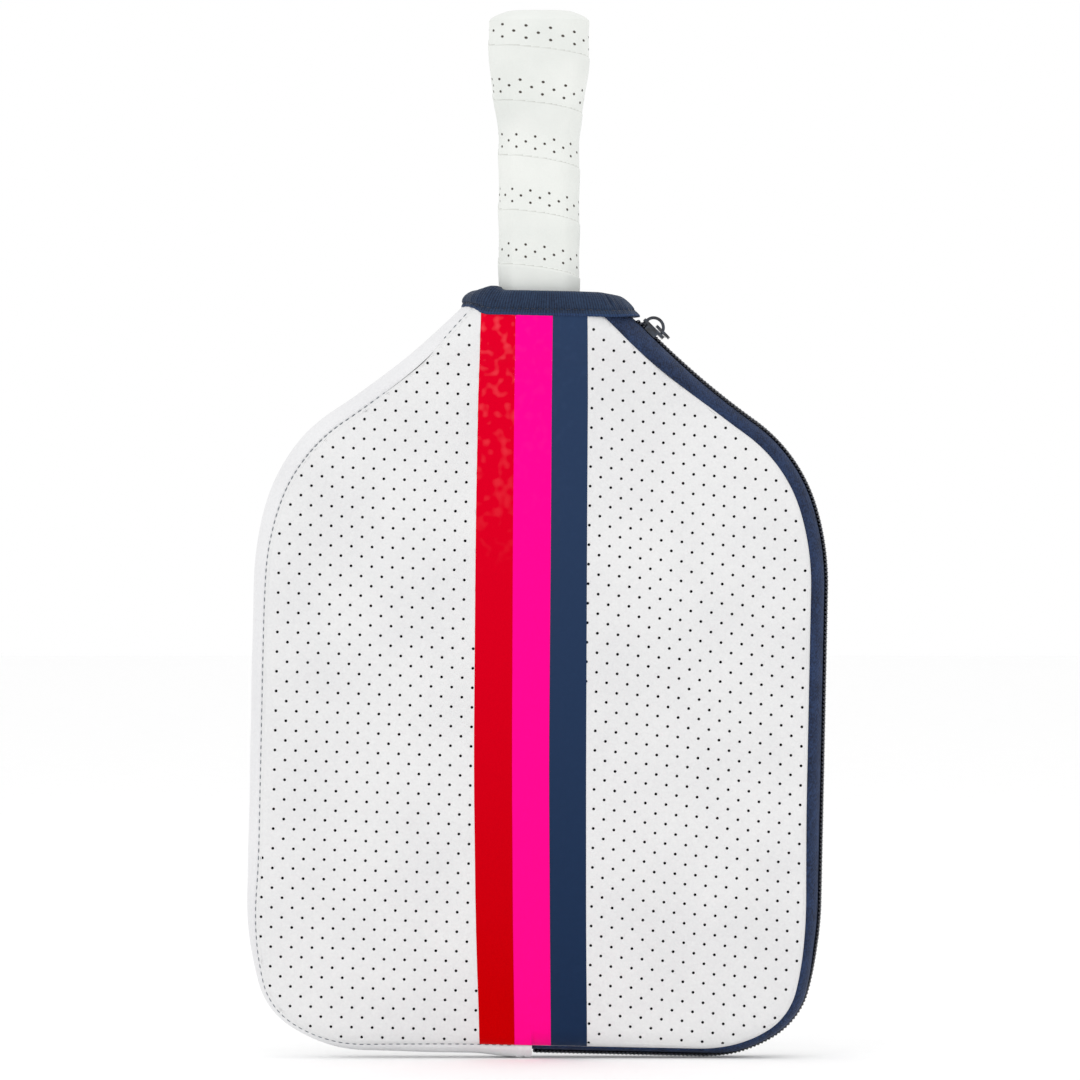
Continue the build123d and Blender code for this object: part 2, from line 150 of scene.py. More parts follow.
def faceHalf(w):
    # half depth of the case: flat, then an S of two equal arcs out to the neck
    rise, run = (case["neckDepth"] - case["faceDepth"]) / 2, case["bulge"]
    radius = (run**2 + rise**2) / (4 * rise)
    t = np.clip(np.asarray(w, float) - (case["height"] - run), 0, run)
    low = radius - np.sqrt(radius**2 - np.minimum(t, run / 2) ** 2)
    high = rise - radius + np.sqrt(radius**2 - (run - np.maximum(t, run / 2)) ** 2)
    return case["faceDepth"] / 2 + np.where(t < run / 2, low, high)


def roundAt(w):  # rounding of the outer edge grows where the neck closes round the handle
    return case["edgeRound"] + (case["neckRound"] - case["edgeRound"]) * smooth(
        case["height"] - case["bulge"], case["height"], w)


def fall(distance, radius):  # quarter circle: how far the face has dropped this near the edge
    left = radius - np.clip(distance, 0, radius)
    return radius - np.sqrt(np.maximum(radius**2 - left**2, 0))


def place(u, w, y):  # case coordinates in mm to the frame in metres, the case leaning on the paddle
    u, w, y = np.broadcast_arrays(u, w, y)
    c, s = math.cos(case["lean"]), math.sin(case["lean"])
    return np.stack([(case["offset"] + u * c + w * s) * mm, y * mm, (caseLift - u * s + w * c) * mm], -1)


# ---- where the seams run: inset from the edge along its length, left gusset and right zip
seams = {
    "left": ((0, 3.7), (30, 3.7), (60, 2.9), (85, 1.9), (110, 1.6), (135, 2.6), (165, 4.4), (265, 4.4),
             (300, 5.4), (335, 6.4), (375, 5.9), (400, 5.2), (416, 3.2), (440, 3.0)),
    "right": ((0, 3.6), (70, 3.7), (95, 3.5), (118, 4.8), (145, 6.5), (190, 7.3), (340, 7.4), (378, 7.4),
              (400, 8.6), (416, 9.8), (440, 10.5)),
    "tapeInset": 1.95, "cornerTape": 0.6, "hemDrop": 1.25,
}


def softInterp(s, points):  # table of points joined and then softened over 8 mm either side
    at, value = np.array(points, float).T
    s = np.asarray(s, float)
    return sum(np.interp(s + shift, at, value) for shift in (-8, -4, 0, 4, 8)) / 5


def turnedIn(s):  # 1 where the zip is rolled round the bottom corner, out of sight
    return smooth(66, 84, s) * (1 - smooth(114, 140, s))


def seamInset(side, s):
    return softInterp(s, seams["left" if side < 0 else "right"])


def bodyInset(side, s):  # outer edge of the wall itself: the zip tape sits in behind its coil
    s = np.asarray(s, float)
    if side < 0:
        return -seams["hemDrop"] * (1 - smooth(5, 24, s))
    return seams["tapeInset"] - (seams["tapeInset"] - seams["cornerTape"]) * turnedIn(s)


def faceY(u, w, deeper=0.0):
    # half depth of the outer skin over (u, w): the face less the quarter circle at the edge
    inset, s = insetOf(u, w)
    body = np.where(np.asarray(u) < 0, bodyInset(-1, s), bodyInset(1, s))
    ripple = 0.18 * np.sin(u / 31 + 1.3) * np.sin(w / 43) + 0.10 * np.sin(u / 13 - w / 19)
    ripple = ripple * smooth(6, 26, inset)
    return faceHalf(w) - fall(inset - body, roundAt(w)) + ripple - deeper


# ---- mesh helpers
def unit(v):
    return v / np.linalg.norm(v, axis=1, keepdims=True)


def squareTo(v, along):  # direction of v with its share of along taken out
    return unit(v - along * np.sum(v * along, 1, keepdims=True))


def gridFaces(rows, cols, closeRows=False, closeCols=False, flip=False):
    r = np.arange(rows if closeRows else rows - 1)
    c = np.arange(cols if closeCols else cols - 1)
    r, c = np.meshgrid(r, c, indexing="ij")
    r1, c1 = (r + 1) % rows, (c + 1) % cols
    quads = np.stack([r * cols + c, r1 * cols + c, r1 * cols + c1, r * cols + c1], -1).reshape(-1, 4)
    corners = np.stack([np.stack([r, c], -1), np.stack([r + 1, c], -1),
                        np.stack([r + 1, c + 1], -1), np.stack([r, c + 1], -1)], -2).reshape(-1, 4, 2)
    return (quads[:, ::-1], corners[:, ::-1]) if flip else (quads, corners)


def makePiece(name, points, faces, materials, body=None, cornerUv=None, materialIndex=None):
    # points is (n, 3) in metres, faces a list of arrays of equal corner counts
    mesh = bpy.data.meshes.new(name)
    polygons = [f for block in faces for f in np.asarray(block).tolist()]
    mesh.from_pydata(np.asarray(points).reshape(-1, 3).tolist(), [], polygons)
    for material in materials:
        mesh.materials.append(material)
    if materialIndex is not None:
        mesh.polygons.foreach_set("material_index", np.asarray(materialIndex, np.int32))
    if cornerUv is not None:
        layer = mesh.uv_layers.new(name="UVMap")
        layer.data.foreach_set("uv", np.asarray(cornerUv, np.float32).ravel())
    mesh.polygons.foreach_set("use_smooth", np.ones(len(mesh.polygons), bool))
    mesh.update()
    piece = bpy.data.objects.new(name, mesh)
    bpy.context.scene.collection.objects.link(piece)
    if body:
        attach(piece, body)
    return piece


# ---- materials
def linear(code):  # sRGB hex to linear
    value = np.array([int(code[i:i + 2], 16) for i in (1, 3, 5)]) / 255
    value = np.where(value <= 0.04045, value / 12.92, ((value + 0.055) / 1.055) ** 2.4)
    return (*value.tolist(), 1.0)


def addNode(tree, kind, settings=None, links=None):
    node = tree.nodes.new("ShaderNode" + kind)
    settings = settings or {}
    for key, value in settings.items():
        if isinstance(key, str) and key in node.bl_rna.properties:
            setattr(node, key, value)
    for key, value in settings.items():
        if not (isinstance(key, str) and key in node.bl_rna.properties):
            node.inputs[key].default_value = value
    for key, socket in (links or {}).items():
        tree.links.new(socket, node.inputs[key])
    return node


def newMaterial(name, **surface):
    material = bpy.data.materials.new(name)
    material.use_nodes = True
    tree = material.node_tree
    shader = tree.nodes["Principled BSDF"]
    for key, value in surface.items():
        shader.inputs[key.replace("_", " ")].default_value = value
    return material, tree, shader, addNode(tree, "TexCoord").outputs


def mixOf(tree, factor, low, high):  # colour between two hex colours
    mix = addNode(tree, "Mix", {"data_type": "RGBA"}, {0: factor})
    mix.inputs[6].default_value, mix.inputs[7].default_value = linear(low), linear(high)
    return mix.outputs[2]


def ramp(tree, value, low, high):  # 0 to 1 between two values
    return addNode(tree, "MapRange", {1: low, 2: high}, {0: value}).outputs[0]


def maths(tree, operation, first, second=None):
    node = addNode(tree, "Math", {"operation": operation})
    for slot, value in enumerate((first, second)):
        if value is None:
            continue
        if isinstance(value, (int, float)):
            node.inputs[slot].default_value = value
        else:
            tree.links.new(value, node.inputs[slot])
    return node.outputs[0]


def bumpInto(tree, shader, height, depth, strength=1.0):  # depth in metres for a height of 1
    bump = addNode(tree, "Bump", {"Distance": depth, "Strength": strength}, {"Height": height})
    tree.links.new(bump.outputs[0], shader.inputs["Normal"])
    return bump


def knitMaterial(name, light, dark, stitch=0.9, depth=0.00006):
    # warp-knit jersey laminated to neoprene foam: matt, soft, with a faint fuzz at grazing angles;
    # its real 0.35 mm stitches are drawn at 0.9 mm so that they show
    material, tree, shader, spots = newMaterial(
        name, Roughness=0.82, Sheen_Weight=0.25, Sheen_Roughness=0.5, IOR=1.46)
    place3 = addNode(tree, "Mapping", {"Scale": (1, 1, 1.25)}, {0: spots["Object"]})
    cell = addNode(tree, "TexVoronoi", {"Scale": 1 / (stitch * mm), "Randomness": 0.35},
                   {"Vector": place3.outputs[0]})
    cloud = addNode(tree, "TexNoise", {"Scale": 28.0, "Detail": 3.0}, {"Vector": spots["Object"]})
    fibre = addNode(tree, "TexNoise", {"Scale": 900.0, "Detail": 2.0}, {"Vector": spots["Object"]})
    blend = maths(tree, "ADD", maths(tree, "MULTIPLY", ramp(tree, cloud.outputs[0], 0.35, 0.65), 0.5),
                  maths(tree, "MULTIPLY", ramp(tree, fibre.outputs[0], 0.3, 0.7), 0.5))
    tree.links.new(mixOf(tree, blend, dark, light), shader.inputs["Base Color"])
    bumpInto(tree, shader, maths(tree, "ADD", cell.outputs["Distance"], fibre.outputs[0]), depth)
    return material


def vinylMaterial(name, colour, deep, roughness, gloss, paintedHighlight, paintedHighlightShare):
    # heat-pressed polyurethane film: saturated colour, deeper towards the foot, with tinted gloss; near the
    # top, soft lighter blotches of a few mm where the perforations press through are painted highlight in the
    # colour
    material, tree, shader, spots = newMaterial(
        name, Roughness=roughness, Specular_IOR_Level=gloss, IOR=1.5, Specular_Tint=linear(colour))
    swell = addNode(tree, "TexNoise", {"Scale": 340.0, "Detail": 0.0}, {"Vector": spots["Object"]})
    slow = addNode(tree, "TexNoise", {"Scale": 22.0, "Detail": 2.0}, {"Vector": spots["Object"]})
    split = addNode(tree, "SeparateXYZ", {}, {0: spots["Object"]})
    body = mixOf(tree, ramp(tree, split.outputs[2], 0.02, 0.29), deep, colour)
    # painted highlight: blotches of the highlight colour near the top, mixed into the base colour
    highlightSpots = maths(tree, "MULTIPLY", ramp(tree, swell.outputs[0], 0.54, 0.84),
                  ramp(tree, split.outputs[2], 0.19, 0.285))
    withPaintedHighlight = addNode(tree, "Mix", {"data_type": "RGBA", 7: linear(paintedHighlight)},
                  {0: maths(tree, "MULTIPLY", highlightSpots, paintedHighlightShare), 6: body})
    tree.links.new(withPaintedHighlight.outputs[2], shader.inputs["Base Color"])
    bumpInto(tree, shader, maths(tree, "ADD", swell.outputs[0], slow.outputs[0]), 0.00025)
    return material


def tapeMaterial(name, light, dark):
    # woven polyester zip tape: twill lines at 1 mm, coarser than the real 0.4 mm, over a speckle
    material, tree, shader, spots = newMaterial(
        name, Roughness=0.8, Sheen_Weight=0.05, Sheen_Roughness=0.4, Specular_IOR_Level=0.3, IOR=1.5)
    twist = addNode(tree, "Mapping", {"Rotation": (0, 0, 0.7)}, {0: spots["UV"]})
    twill = addNode(tree, "TexWave", {"Scale": 0.32, "Distortion": 1.5, "Detail": 2.0, "Detail Scale": 2.0},
                    {"Vector": twist.outputs[0]})
    speck = addNode(tree, "TexNoise", {"Scale": 1300.0, "Detail": 1.0}, {"Vector": spots["Object"]})
    slow = addNode(tree, "TexNoise", {"Scale": 160.0, "Detail": 2.0}, {"Vector": spots["Object"]})
    tone = maths(tree, "ADD", maths(tree, "MULTIPLY", ramp(tree, speck.outputs[0], 0.35, 0.65), 0.6),
                 maths(tree, "MULTIPLY", ramp(tree, slow.outputs[0], 0.3, 0.7), 0.4))
    tree.links.new(mixOf(tree, tone, dark, light), shader.inputs["Base Color"])
    bumpInto(tree, shader, maths(tree, "ADD", twill.outputs[1], speck.outputs[0]), 0.00010)
    return material


whiteJersey = knitMaterial("whiteJerseyNeoprene", "#E3E3E3", "#D9D9DA")
plainJersey = knitMaterial("plainJerseyNeoprene", "#E4E4E5", "#DADADC", 0.8, 0.00004)
liningJersey = knitMaterial("blackLiningJersey", "#1B1C21", "#0E0F13", 0.9, 0.00008)
foamCore = knitMaterial("chloropreneFoam", "#15151A", "#0B0B0F", 0.6, 0.00005)
# the last two arguments are the painted highlight colour and how much of it is mixed in
redVinyl = vinylMaterial("redPolyurethaneFilm", "#DA0026", "#BC0000", 0.30, 0.8, "#F0565E", 0.5)
pinkVinyl = vinylMaterial("pinkPolyurethaneFilm", "#FF0590", "#FA0A88", 0.42, 0.3, "#FF3FA8", 0.06)
navyVinyl = vinylMaterial("navyPolyurethaneFilm", "#2B3C59", "#1C2D49", 0.45, 0.45, "#36496A", 0.2)
zipTape = tapeMaterial("wovenPolyesterTape", "#283B5F", "#0E182E")


def coilMaterial():
    # spun nylon monofilament: hard, dark and slightly translucent, so each turn has a bright point
    material, tree, shader, spots = newMaterial(
        "nylonCoil", Roughness=0.26, IOR=1.53, Coat_Weight=0.2, Coat_Roughness=0.1)
    dust = addNode(tree, "TexNoise", {"Scale": 700.0, "Detail": 2.0}, {"Vector": spots["Object"]})
    tree.links.new(mixOf(tree, dust.outputs[0], "#0B0D14", "#262A38"), shader.inputs["Base Color"])
    bumpInto(tree, shader, dust.outputs[0], 0.00003)
    return material


def threadMaterial(name, light, dark):
    # twisted polyester thread: plies at 0.5 mm across a satin lay
    material, tree, shader, spots = newMaterial(name, Roughness=0.6, Sheen_Weight=0.3, IOR=1.5)
    ply = addNode(tree, "TexNoise", {"Scale": 2000.0, "Detail": 1.0}, {"Vector": spots["Object"]})
    tree.links.new(mixOf(tree, ply.outputs[0], dark, light), shader.inputs["Base Color"])
    bumpInto(tree, shader, ply.outputs[0], 0.00006)
    return material


nylonCoil = coilMaterial()
greyThread = threadMaterial("greyPolyesterThread", "#7E858C", "#565C64")
navyThread = threadMaterial("navyPolyesterThread", "#16223C", "#0C1426")
print("fabric and film materials made")


# ---- stage
def paleMaterial(name, code):
    # matt painted board
    material, tree, shader, spots = newMaterial(name, Roughness=0.9, Specular_IOR_Level=0.2)
    tooth = addNode(tree, "TexNoise", {"Scale": 40.0, "Detail": 2.0}, {"Vector": spots["Object"]})
    tree.links.new(mixOf(tree, tooth.outputs[0], code, "#FFFFFF"), shader.inputs["Base Color"])
    return material


stage = {"half": 9.0}


def makeFloor():
    # flat board under the case and far past it on every side
    x = np.linspace(-stage["half"], stage["half"], 13)
    points = np.stack(np.broadcast_arrays(x[None, :], x[:, None], 0.0), -1)
    quads, _ = gridFaces(len(x), len(x), flip=True)
    makePiece("studioFloor", points, [quads], [paleMaterial("paleStudioBoard", "#FCFCFC")])


makeFloor()
lamps = (  # name, place, size, watts: each faces the middle of the case
    ("keyLeft", (-1.5, -1.9, 1.3), 1.5, 5.5),
    ("keyRight", (1.6, -1.8, 0.9), 1.5, 3),
    ("overhead", (0.0, -0.3, 2.1), 1.6, 3),
)
for name, spot, size, watts in lamps:
    lamp = bpy.data.objects.new(name, bpy.data.lights.new(name, "AREA"))
    lamp.data.shape, lamp.data.size, lamp.data.energy = "DISK", size, watts
    bpy.context.scene.collection.objects.link(lamp)
    lamp.location = spot
    aim = np.array([0.0, 0.0, 0.2]) - np.array(spot)
    tilt = math.atan2(math.hypot(aim[0], aim[1]), -aim[2])
    lamp.rotation_euler = (tilt, 0, math.atan2(aim[1], aim[0]) - math.pi / 2)
world = bpy.data.worlds.new("whiteRoom")
bpy.context.scene.world = world
world.use_nodes = True
world.node_tree.nodes["Background"].inputs["Color"].default_value = (1, 1, 1, 1)
world.node_tree.nodes["Background"].inputs["Strength"].default_value = 1.0
bpy.context.scene.view_settings.view_transform = "Standard"
print("stage made")

# ---- perforated panels
holes = {"across": 8.1, "up": 7.66, "radius": 0.58, "lip": 0.24, "deep": 1.3, "skirt": 0.95, "keep": 0.65}
stripes = {  # edges from left to right, each as x at the heights in "at"
    "at": (5, 50, 115, 210, 273, 289), "thick": 0.25, "top": 292.0, "foot": 0.25,
    "edges": ((-23.2, -24.8, -25.6, -24.8, -23.6, -22.5), (-9.5, -10.2, -10.6, -10.2, -9.5, -9.1),
              (4.7, 4.3, 3.9, 4.7, 5.1, 5.5), (18.9, 18.5, 18.5, 18.9, 19.3, 18.9)),
}


def stripeEdge(number, z):
    return sum(np.interp(z + shift, stripes["at"], stripes["edges"][number]) for shift in (-14, 0, 14)) / 3


def latticeWarp(u, w):  # rows of holes sag to the right of the stripes and rise to the left of them
    return -0.054 * np.maximum(u - 15, 0) - 0.026 * (w / case["height"]) * np.minimum(u + 15, 0)


def underStripes(u, w):
    x, z = place(u, w, 0.0)[..., 0] / mm, place(u, w, 0.0)[..., 2] / mm
    return (x > stripeEdge(0, z) - 0.6) & (x < stripeEdge(3, z) - 0.3)


def perforatedPanel(name, front):
    # checkerboard cells: every second one holds a round hole with a soft lip and a dark foam
    # wall, joined to the cell's eight outer points; points past the seam slide back to it
    halfA, halfB = holes["across"] / 4, holes["up"] / 4
    nu, nw = int(case["width"] / 2 / halfA) // 2 * 2 + 2, int(294 / halfB) // 2 * 2 + 4
    i, j = np.meshgrid(np.arange(-nu, nu + 1), np.arange(nw + 1), indexing="ij")
    u, w0 = i * halfA, j * halfB
    w = np.clip(w0 + latticeWarp(u, w0), -6, 292.5)
    inset, s = insetOf(u, w)
    side = np.where(u < 0, -1, 1)
    seam = np.where(side < 0, seamInset(-1, s), seamInset(1, s))
    margin = inset - seam
    outside = margin < holes["skirt"]
    pulledU, pulledW = edgeAt(s, seam + holes["skirt"])
    u, w = np.where(outside, side * pulledU, u), np.where(outside, pulledW, w)
    w = np.minimum(w, 292.5)
    cells = i.shape[0] // 2, i.shape[1] // 2
    ci, cj = np.meshgrid(np.arange(cells[0]) * 2, np.arange(cells[1]) * 2, indexing="ij")
    ring = np.array([(0, 0), (1, 0), (2, 0), (2, 1), (2, 2), (1, 2), (0, 2), (0, 1)])
    around = (ci[..., None] + ring[:, 0]) * i.shape[1] + cj[..., None] + ring[:, 1]
    middle = (ci + 1) * i.shape[1] + cj + 1
    flatMargin = margin.ravel()
    used = (flatMargin[around].max(-1) > holes["skirt"]) & (w0.ravel()[middle] < 296)
    holed = used & ((ci + cj) // 2 % 2 == 0) & (flatMargin[middle] > holes["skirt"] + holes["keep"])
    holed &= (w.ravel()[middle] < 290) & (flatMargin[around].min(-1) > holes["skirt"] - 2.5)
    if front:
        holed &= ~underStripes(u.ravel()[middle], w.ravel()[middle])
    plain = used & ~holed
    corners = np.stack([around[..., 0:8:2], around[..., 1:9:2],
                        np.broadcast_to(middle[..., None], around[..., ::2].shape),
                        around[..., [7, 1, 3, 5]]], -1)
    plainFaces = corners[plain].reshape(-1, 4)
    centreU, centreW = u.ravel()[middle[holed]], w.ravel()[middle[holed]]
    angle = np.radians(np.array([-135, -90, -45, 0, 45, 90, 135, 180]))
    rings = ((holes["radius"] + holes["lip"], 0.0), (holes["radius"], 0.14),
             (holes["radius"] * 0.9, holes["deep"]))
    ringU = np.stack([centreU[:, None] + r * np.cos(angle) for r, _ in rings], 1)
    ringW = np.stack([centreW[:, None] + r * np.sin(angle) for r, _ in rings], 1)
    ringDeep = np.broadcast_to(np.array([d for _, d in rings])[:, None], ringU.shape)
    count = len(centreU)
    first = i.size + np.arange(count)[:, None, None] * 24 + np.arange(3)[None, :, None] * 8
    index = first + np.arange(8)
    turn = np.roll(index, -1, -1)
    outer = around[holed]
    collarFaces = np.stack([outer, np.roll(outer, -1, -1), turn[:, 0], index[:, 0]], -1).reshape(-1, 4)
    lipFaces = np.stack([index[:, 0], turn[:, 0], turn[:, 1], index[:, 1]], -1).reshape(-1, 4)
    wallFaces = np.stack([index[:, 1], turn[:, 1], turn[:, 2], index[:, 2]], -1).reshape(-1, 4)
    floorFaces = index[:, 2]
    # rolled skirt along both seams, dipping into the seam in a quarter curve
    t = np.linspace(0, 1.4, 7)
    run = np.linspace(0, underCollar, 440)
    skirts, skirtFaces, base = [], [], i.size + count * 24
    for sign in (-1, 1):
        su, sw = edgeAt(run[:, None], seamInset(sign, run)[:, None] + t[None, :])
        dip = 0.95 * (1 - t / t[-1]) ** 2.2
        skirts.append((sign * su, np.minimum(sw, 293.5), np.broadcast_to(dip - 0.015, su.shape)))
        quads, _ = gridFaces(len(run), len(t), flip=sign < 0)
        skirtFaces.append(quads + base)
        base += su.size
    allU = np.concatenate([u.ravel(), ringU.ravel()] + [k[0].ravel() for k in skirts])
    allW = np.concatenate([w.ravel(), ringW.ravel()] + [k[1].ravel() for k in skirts])
    deeper = np.concatenate([np.zeros(i.size), ringDeep.ravel()] + [k[2].ravel() for k in skirts])
    y = faceY(allU, allW, deeper) * (-1 if front else 1)
    points = place(allU, allW, y)
    blocks = [plainFaces, collarFaces, lipFaces, wallFaces, floorFaces] + skirtFaces
    if not front:
        blocks = [block[:, ::-1] for block in blocks]
    keep = np.unique(np.concatenate([block.ravel() for block in blocks]))
    renumber = np.zeros(len(points), int)
    renumber[keep] = np.arange(len(keep))
    dark = np.concatenate([np.full(len(block), k in (3, 4)) for k, block in enumerate(blocks)])
    return makePiece(name, points[keep], [renumber[block] for block in blocks], [whiteJersey, foamCore],
                     materialIndex=dark.astype(np.int32))


frontCover = perforatedPanel("frontCover", True)
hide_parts("front_panel", "front_flap")
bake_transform(frontCover)
backCover = perforatedPanel("backCover", False)
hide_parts("back_panel")
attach(backCover, "case")
print("perforated panels made")


# ---- lining: one stretched jersey face behind each panel
lining = {"behind": 2.35, "thick": 0.6, "short": 1.2, "foot": 6.2, "top": 291.5}


def liningSheet(name, front):
    # level lines across the case between its two seams, drawn in by the neoprene's thickness
    s = np.linspace(edge["length"][0], edgeLength, 140)
    level = np.linspace(lining["foot"], lining["top"], 130)
    across = np.linspace(-1, 1, 61)
    reach = {}
    for sign in (-1, 1):
        su, sw = edgeAt(s, seamInset(sign, s) + lining["short"])
        order = np.argsort(sw)
        reach[sign] = np.interp(level, sw[order], su[order])
    u = across[None, :] * np.where(across[None, :] < 0, reach[-1][:, None], reach[1][:, None])
    w = np.broadcast_to(level[:, None], u.shape)
    outer = faceY(u, w, lining["behind"])
    inner = outer - lining["thick"]
    sign = -1 if front else 1
    points = np.concatenate([place(u, w, sign * y).reshape(-1, 3) for y in (outer, inner)])
    quads, _ = gridFaces(len(level), len(across), flip=front)
    rim = np.concatenate([np.arange(len(across)), np.arange(1, len(level)) * len(across) + len(across) - 1,
                          (len(level) - 1) * len(across) + np.arange(len(across) - 2, -1, -1),
                          np.arange(len(level) - 2, 0, -1) * len(across)])
    n = u.size
    band = np.stack([rim, np.roll(rim, -1), np.roll(rim, -1) + n, rim + n], -1)
    blocks = [quads, quads[:, ::-1] + n, band if not front else band[:, ::-1]]
    sheet = makePiece(name, points, blocks, [liningJersey])
    return sheet


frontLining = liningSheet("frontLining", True)
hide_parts("front_lining", "flap_lining")
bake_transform(frontLining)
backLining = liningSheet("backLining", False)
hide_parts("back_lining")
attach(backLining, "case")
print("linings made")


# ---- stripes: heat-pressed film, with the perforations under it pressing through near the top
def stripeFilm(name, number, material, push, node):
    # level grid in the frame's own x and z, laid on the panel, raised by the film's thickness and
    # by a soft bump over each covered hole; the long edges and the foot turn down to the fabric
    cols, rows = 31, 590
    t = np.linspace(0, 1, cols)
    c, s = math.cos(case["lean"]), math.sin(case["lean"])

    def across(height):
        z = height + caseLift
        return stripeEdge(number, z) * (1 - t) + stripeEdge(number + 1, z) * t - case["offset"]

    uFoot = across(4.0) / c
    footS = insetOf(uFoot, np.full(cols, 2.0))[1]
    foot = np.where(uFoot < 0, seamInset(-1, footS), seamInset(1, footS)) + stripes["foot"]
    bottom = (foot - across(4.0) * s) / c
    top = (stripes["top"] - across(stripes["top"]) * s) / c
    v = np.linspace(0, 1, rows)[:, None]
    height = bottom[None, :] + (top - bottom)[None, :] * v
    x = across(height)
    width = across(150.0)[-1] - across(150.0)[0]
    u, w = x * c - height * s, x * s + height * c
    halfA, halfB = holes["across"] / 2, holes["up"] / 2
    a, b = u / halfA, (w - latticeWarp(u, w)) / halfB
    ia, ib = np.floor(a), np.floor(b)
    da, db = (a - ia - 0.5) * halfA, (b - ib - 0.5) * halfB
    holeHere = (ia + ib) % 2 == 0
    fade = 0.22 + 0.78 * smooth(120, 250, w)
    noise = 0.6 + 0.4 * np.sin(ia * 2.3 + ib * 1.7)
    bump = push * fade * noise * holeHere * np.exp(-(da**2 + db**2) / 1.1)
    edgeDrop = 0.24 * (1 - smooth(0, 0.35, np.minimum(t, 1 - t) * width))[None, :]
    footDrop = 0.24 * (1 - smooth(0, 0.6, height - bottom[None, :]))
    lift = stripes["thick"] + bump - np.maximum(edgeDrop, footDrop)
    points = place(u, w, -(faceY(u, w) + lift))
    quads, _ = gridFaces(rows, cols, flip=True)
    film = makePiece(name, points, [quads], [material], "case")
    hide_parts(node)
    return film


for number, (name, material, push, node) in enumerate((
        ("redStripe", redVinyl, 0.34, "stripe_red"), ("pinkStripe", pinkVinyl, 0.10, "stripe_pink"),
        ("navyStripe", navyVinyl, 0.03, "stripe_navy"))):
    stripeFilm(name, number, material, push, node)
print("stripes made")


# ---- wall strips that follow the edge: gusset on the left, zip tapes on the right
def wallPath(side, s, first, last, count, deeper=0.0):
    # path round the section at each s, from the front seam (first 0) to where y is last: a quarter
    # circle into the straight side, then, for a whole band, its mirror to the back seam
    s = np.asarray(s, float)[:, None]
    w = edgeAt(s, 0.0)[1]
    half, radius = faceHalf(np.minimum(w, case["height"])), roundAt(w)
    body = bodyInset(side, s)
    seam = np.clip((seamInset(side, s) + first - body) / radius, 0, 0.999)
    start = np.arcsin(1 - seam)
    arc = radius * (math.pi / 2 - start)
    straight = np.maximum(half - radius, 0.0)
    total = arc + straight - last
    p = np.linspace(0, 1, count)[None, :] * total
    angle = np.where(p < arc, start + p / radius, math.pi / 2)
    inset = body + radius * (1 - np.sin(angle)) + deeper * np.sin(angle)
    depth = np.where(p < arc, half - radius * (1 - np.cos(angle)), half - radius - (p - arc))
    depth = depth - deeper * np.cos(angle)
    roll = 0.85 * np.clip(1 - p / 1.6, 0, 1) ** 2
    inset, depth = inset + roll * np.sin(angle), depth - roll * np.cos(angle)
    return inset, depth, p


def closedStrip(name, side, s, insetOuter, depthOuter, insetInner, depthInner, along, materials, flip):
    # outer and inner path joined into one loop round the strip's thickness, with both ends capped
    inset = np.concatenate([insetOuter, insetInner[:, ::-1]], 1)
    depth = np.concatenate([depthOuter, depthInner[:, ::-1]], 1)
    u, w = edgeAt(s[:, None], inset)
    w = np.minimum(w, 294.0)
    points = place(side * u, w, -depth)
    rows, cols = inset.shape
    quads, corners = gridFaces(rows, cols, closeCols=True, flip=flip)
    length = np.concatenate([along, along[:, ::-1]], 1)
    row = np.minimum(corners[..., 0], rows - 1)
    uv = np.stack([s[row], length[row, corners[..., 1] % cols]], -1)
    caps = np.stack([np.arange(cols), (rows - 1) * cols + np.arange(cols)[::-1]])
    caps = caps[:, ::-1] if flip else caps
    inside = corners[:, 0, 1] >= insetOuter.shape[1]
    index = inside.astype(int) * (len(materials) > 1)
    cornerUv = np.concatenate([uv.reshape(-1, 2), np.zeros((2 * cols, 2))])
    return makePiece(name, points, [quads, caps], materials, cornerUv=cornerUv,
                     materialIndex=np.concatenate([index, [0, 0]]))


def fullBand(side, s, count, deeper=0.0):  # front half of the path and its mirror behind
    inset, depth, p = wallPath(side, s, 0.0, 0.0, count, deeper)
    return (np.concatenate([inset, inset[:, -2::-1]], 1), np.concatenate([depth, -depth[:, -2::-1]], 1),
            np.concatenate([p, 2 * p[:, -1:] - p[:, -2::-1]], 1))


run = np.r_[np.linspace(0.0, 8.0, 33), np.linspace(8.8, underCollar, 445)]
insetOut, depthOut, along = fullBand(-1, run, 19)
insetIn, depthIn, _ = fullBand(-1, run, 19, case["wall"])
hem = (0.45 * (1 - smooth(5.6, 6.6, run)) - 0.35 * np.exp(-((run - 3.1) / 0.5) ** 2))[:, None]
wander = 0.10 * np.sin(run / 17)[:, None] + 0.06 * np.sin(run / 5.3)[:, None]
insetOut = insetOut - (hem * (depthOut**2 < 40) + wander)
depthOut = depthOut + np.sign(depthOut) * hem * (depthOut**2 >= 40)
sideGusset = closedStrip("sideGusset", -1, run, insetOut, depthOut, insetIn, depthIn, along,
                         [plainJersey, liningJersey], False)
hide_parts("side_gusset", "gusset_end_hem")
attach(sideGusset, "case")
print("gusset made")

zipper = {
    "pitch": 1.6, "wire": 0.48, "sunk": 0.32, "slide": 6.8, "spread": 9.5, "edge": 0.9, "tape": 0.8,
    "middle": 1.25, "swing": 1.4, "partFrom": 72, "partBy": 58, "partShift": 0.98, "partLess": 0.58,
}


def spreadAt(s):  # how far each half of the zip has left the middle line, above the slider's throat
    fromCollar = edgeLength - np.asarray(s, float)
    return zipper["spread"] * (1 - smooth(-4.0, zipper["slide"] - 1.0, fromCollar)) ** 1.3


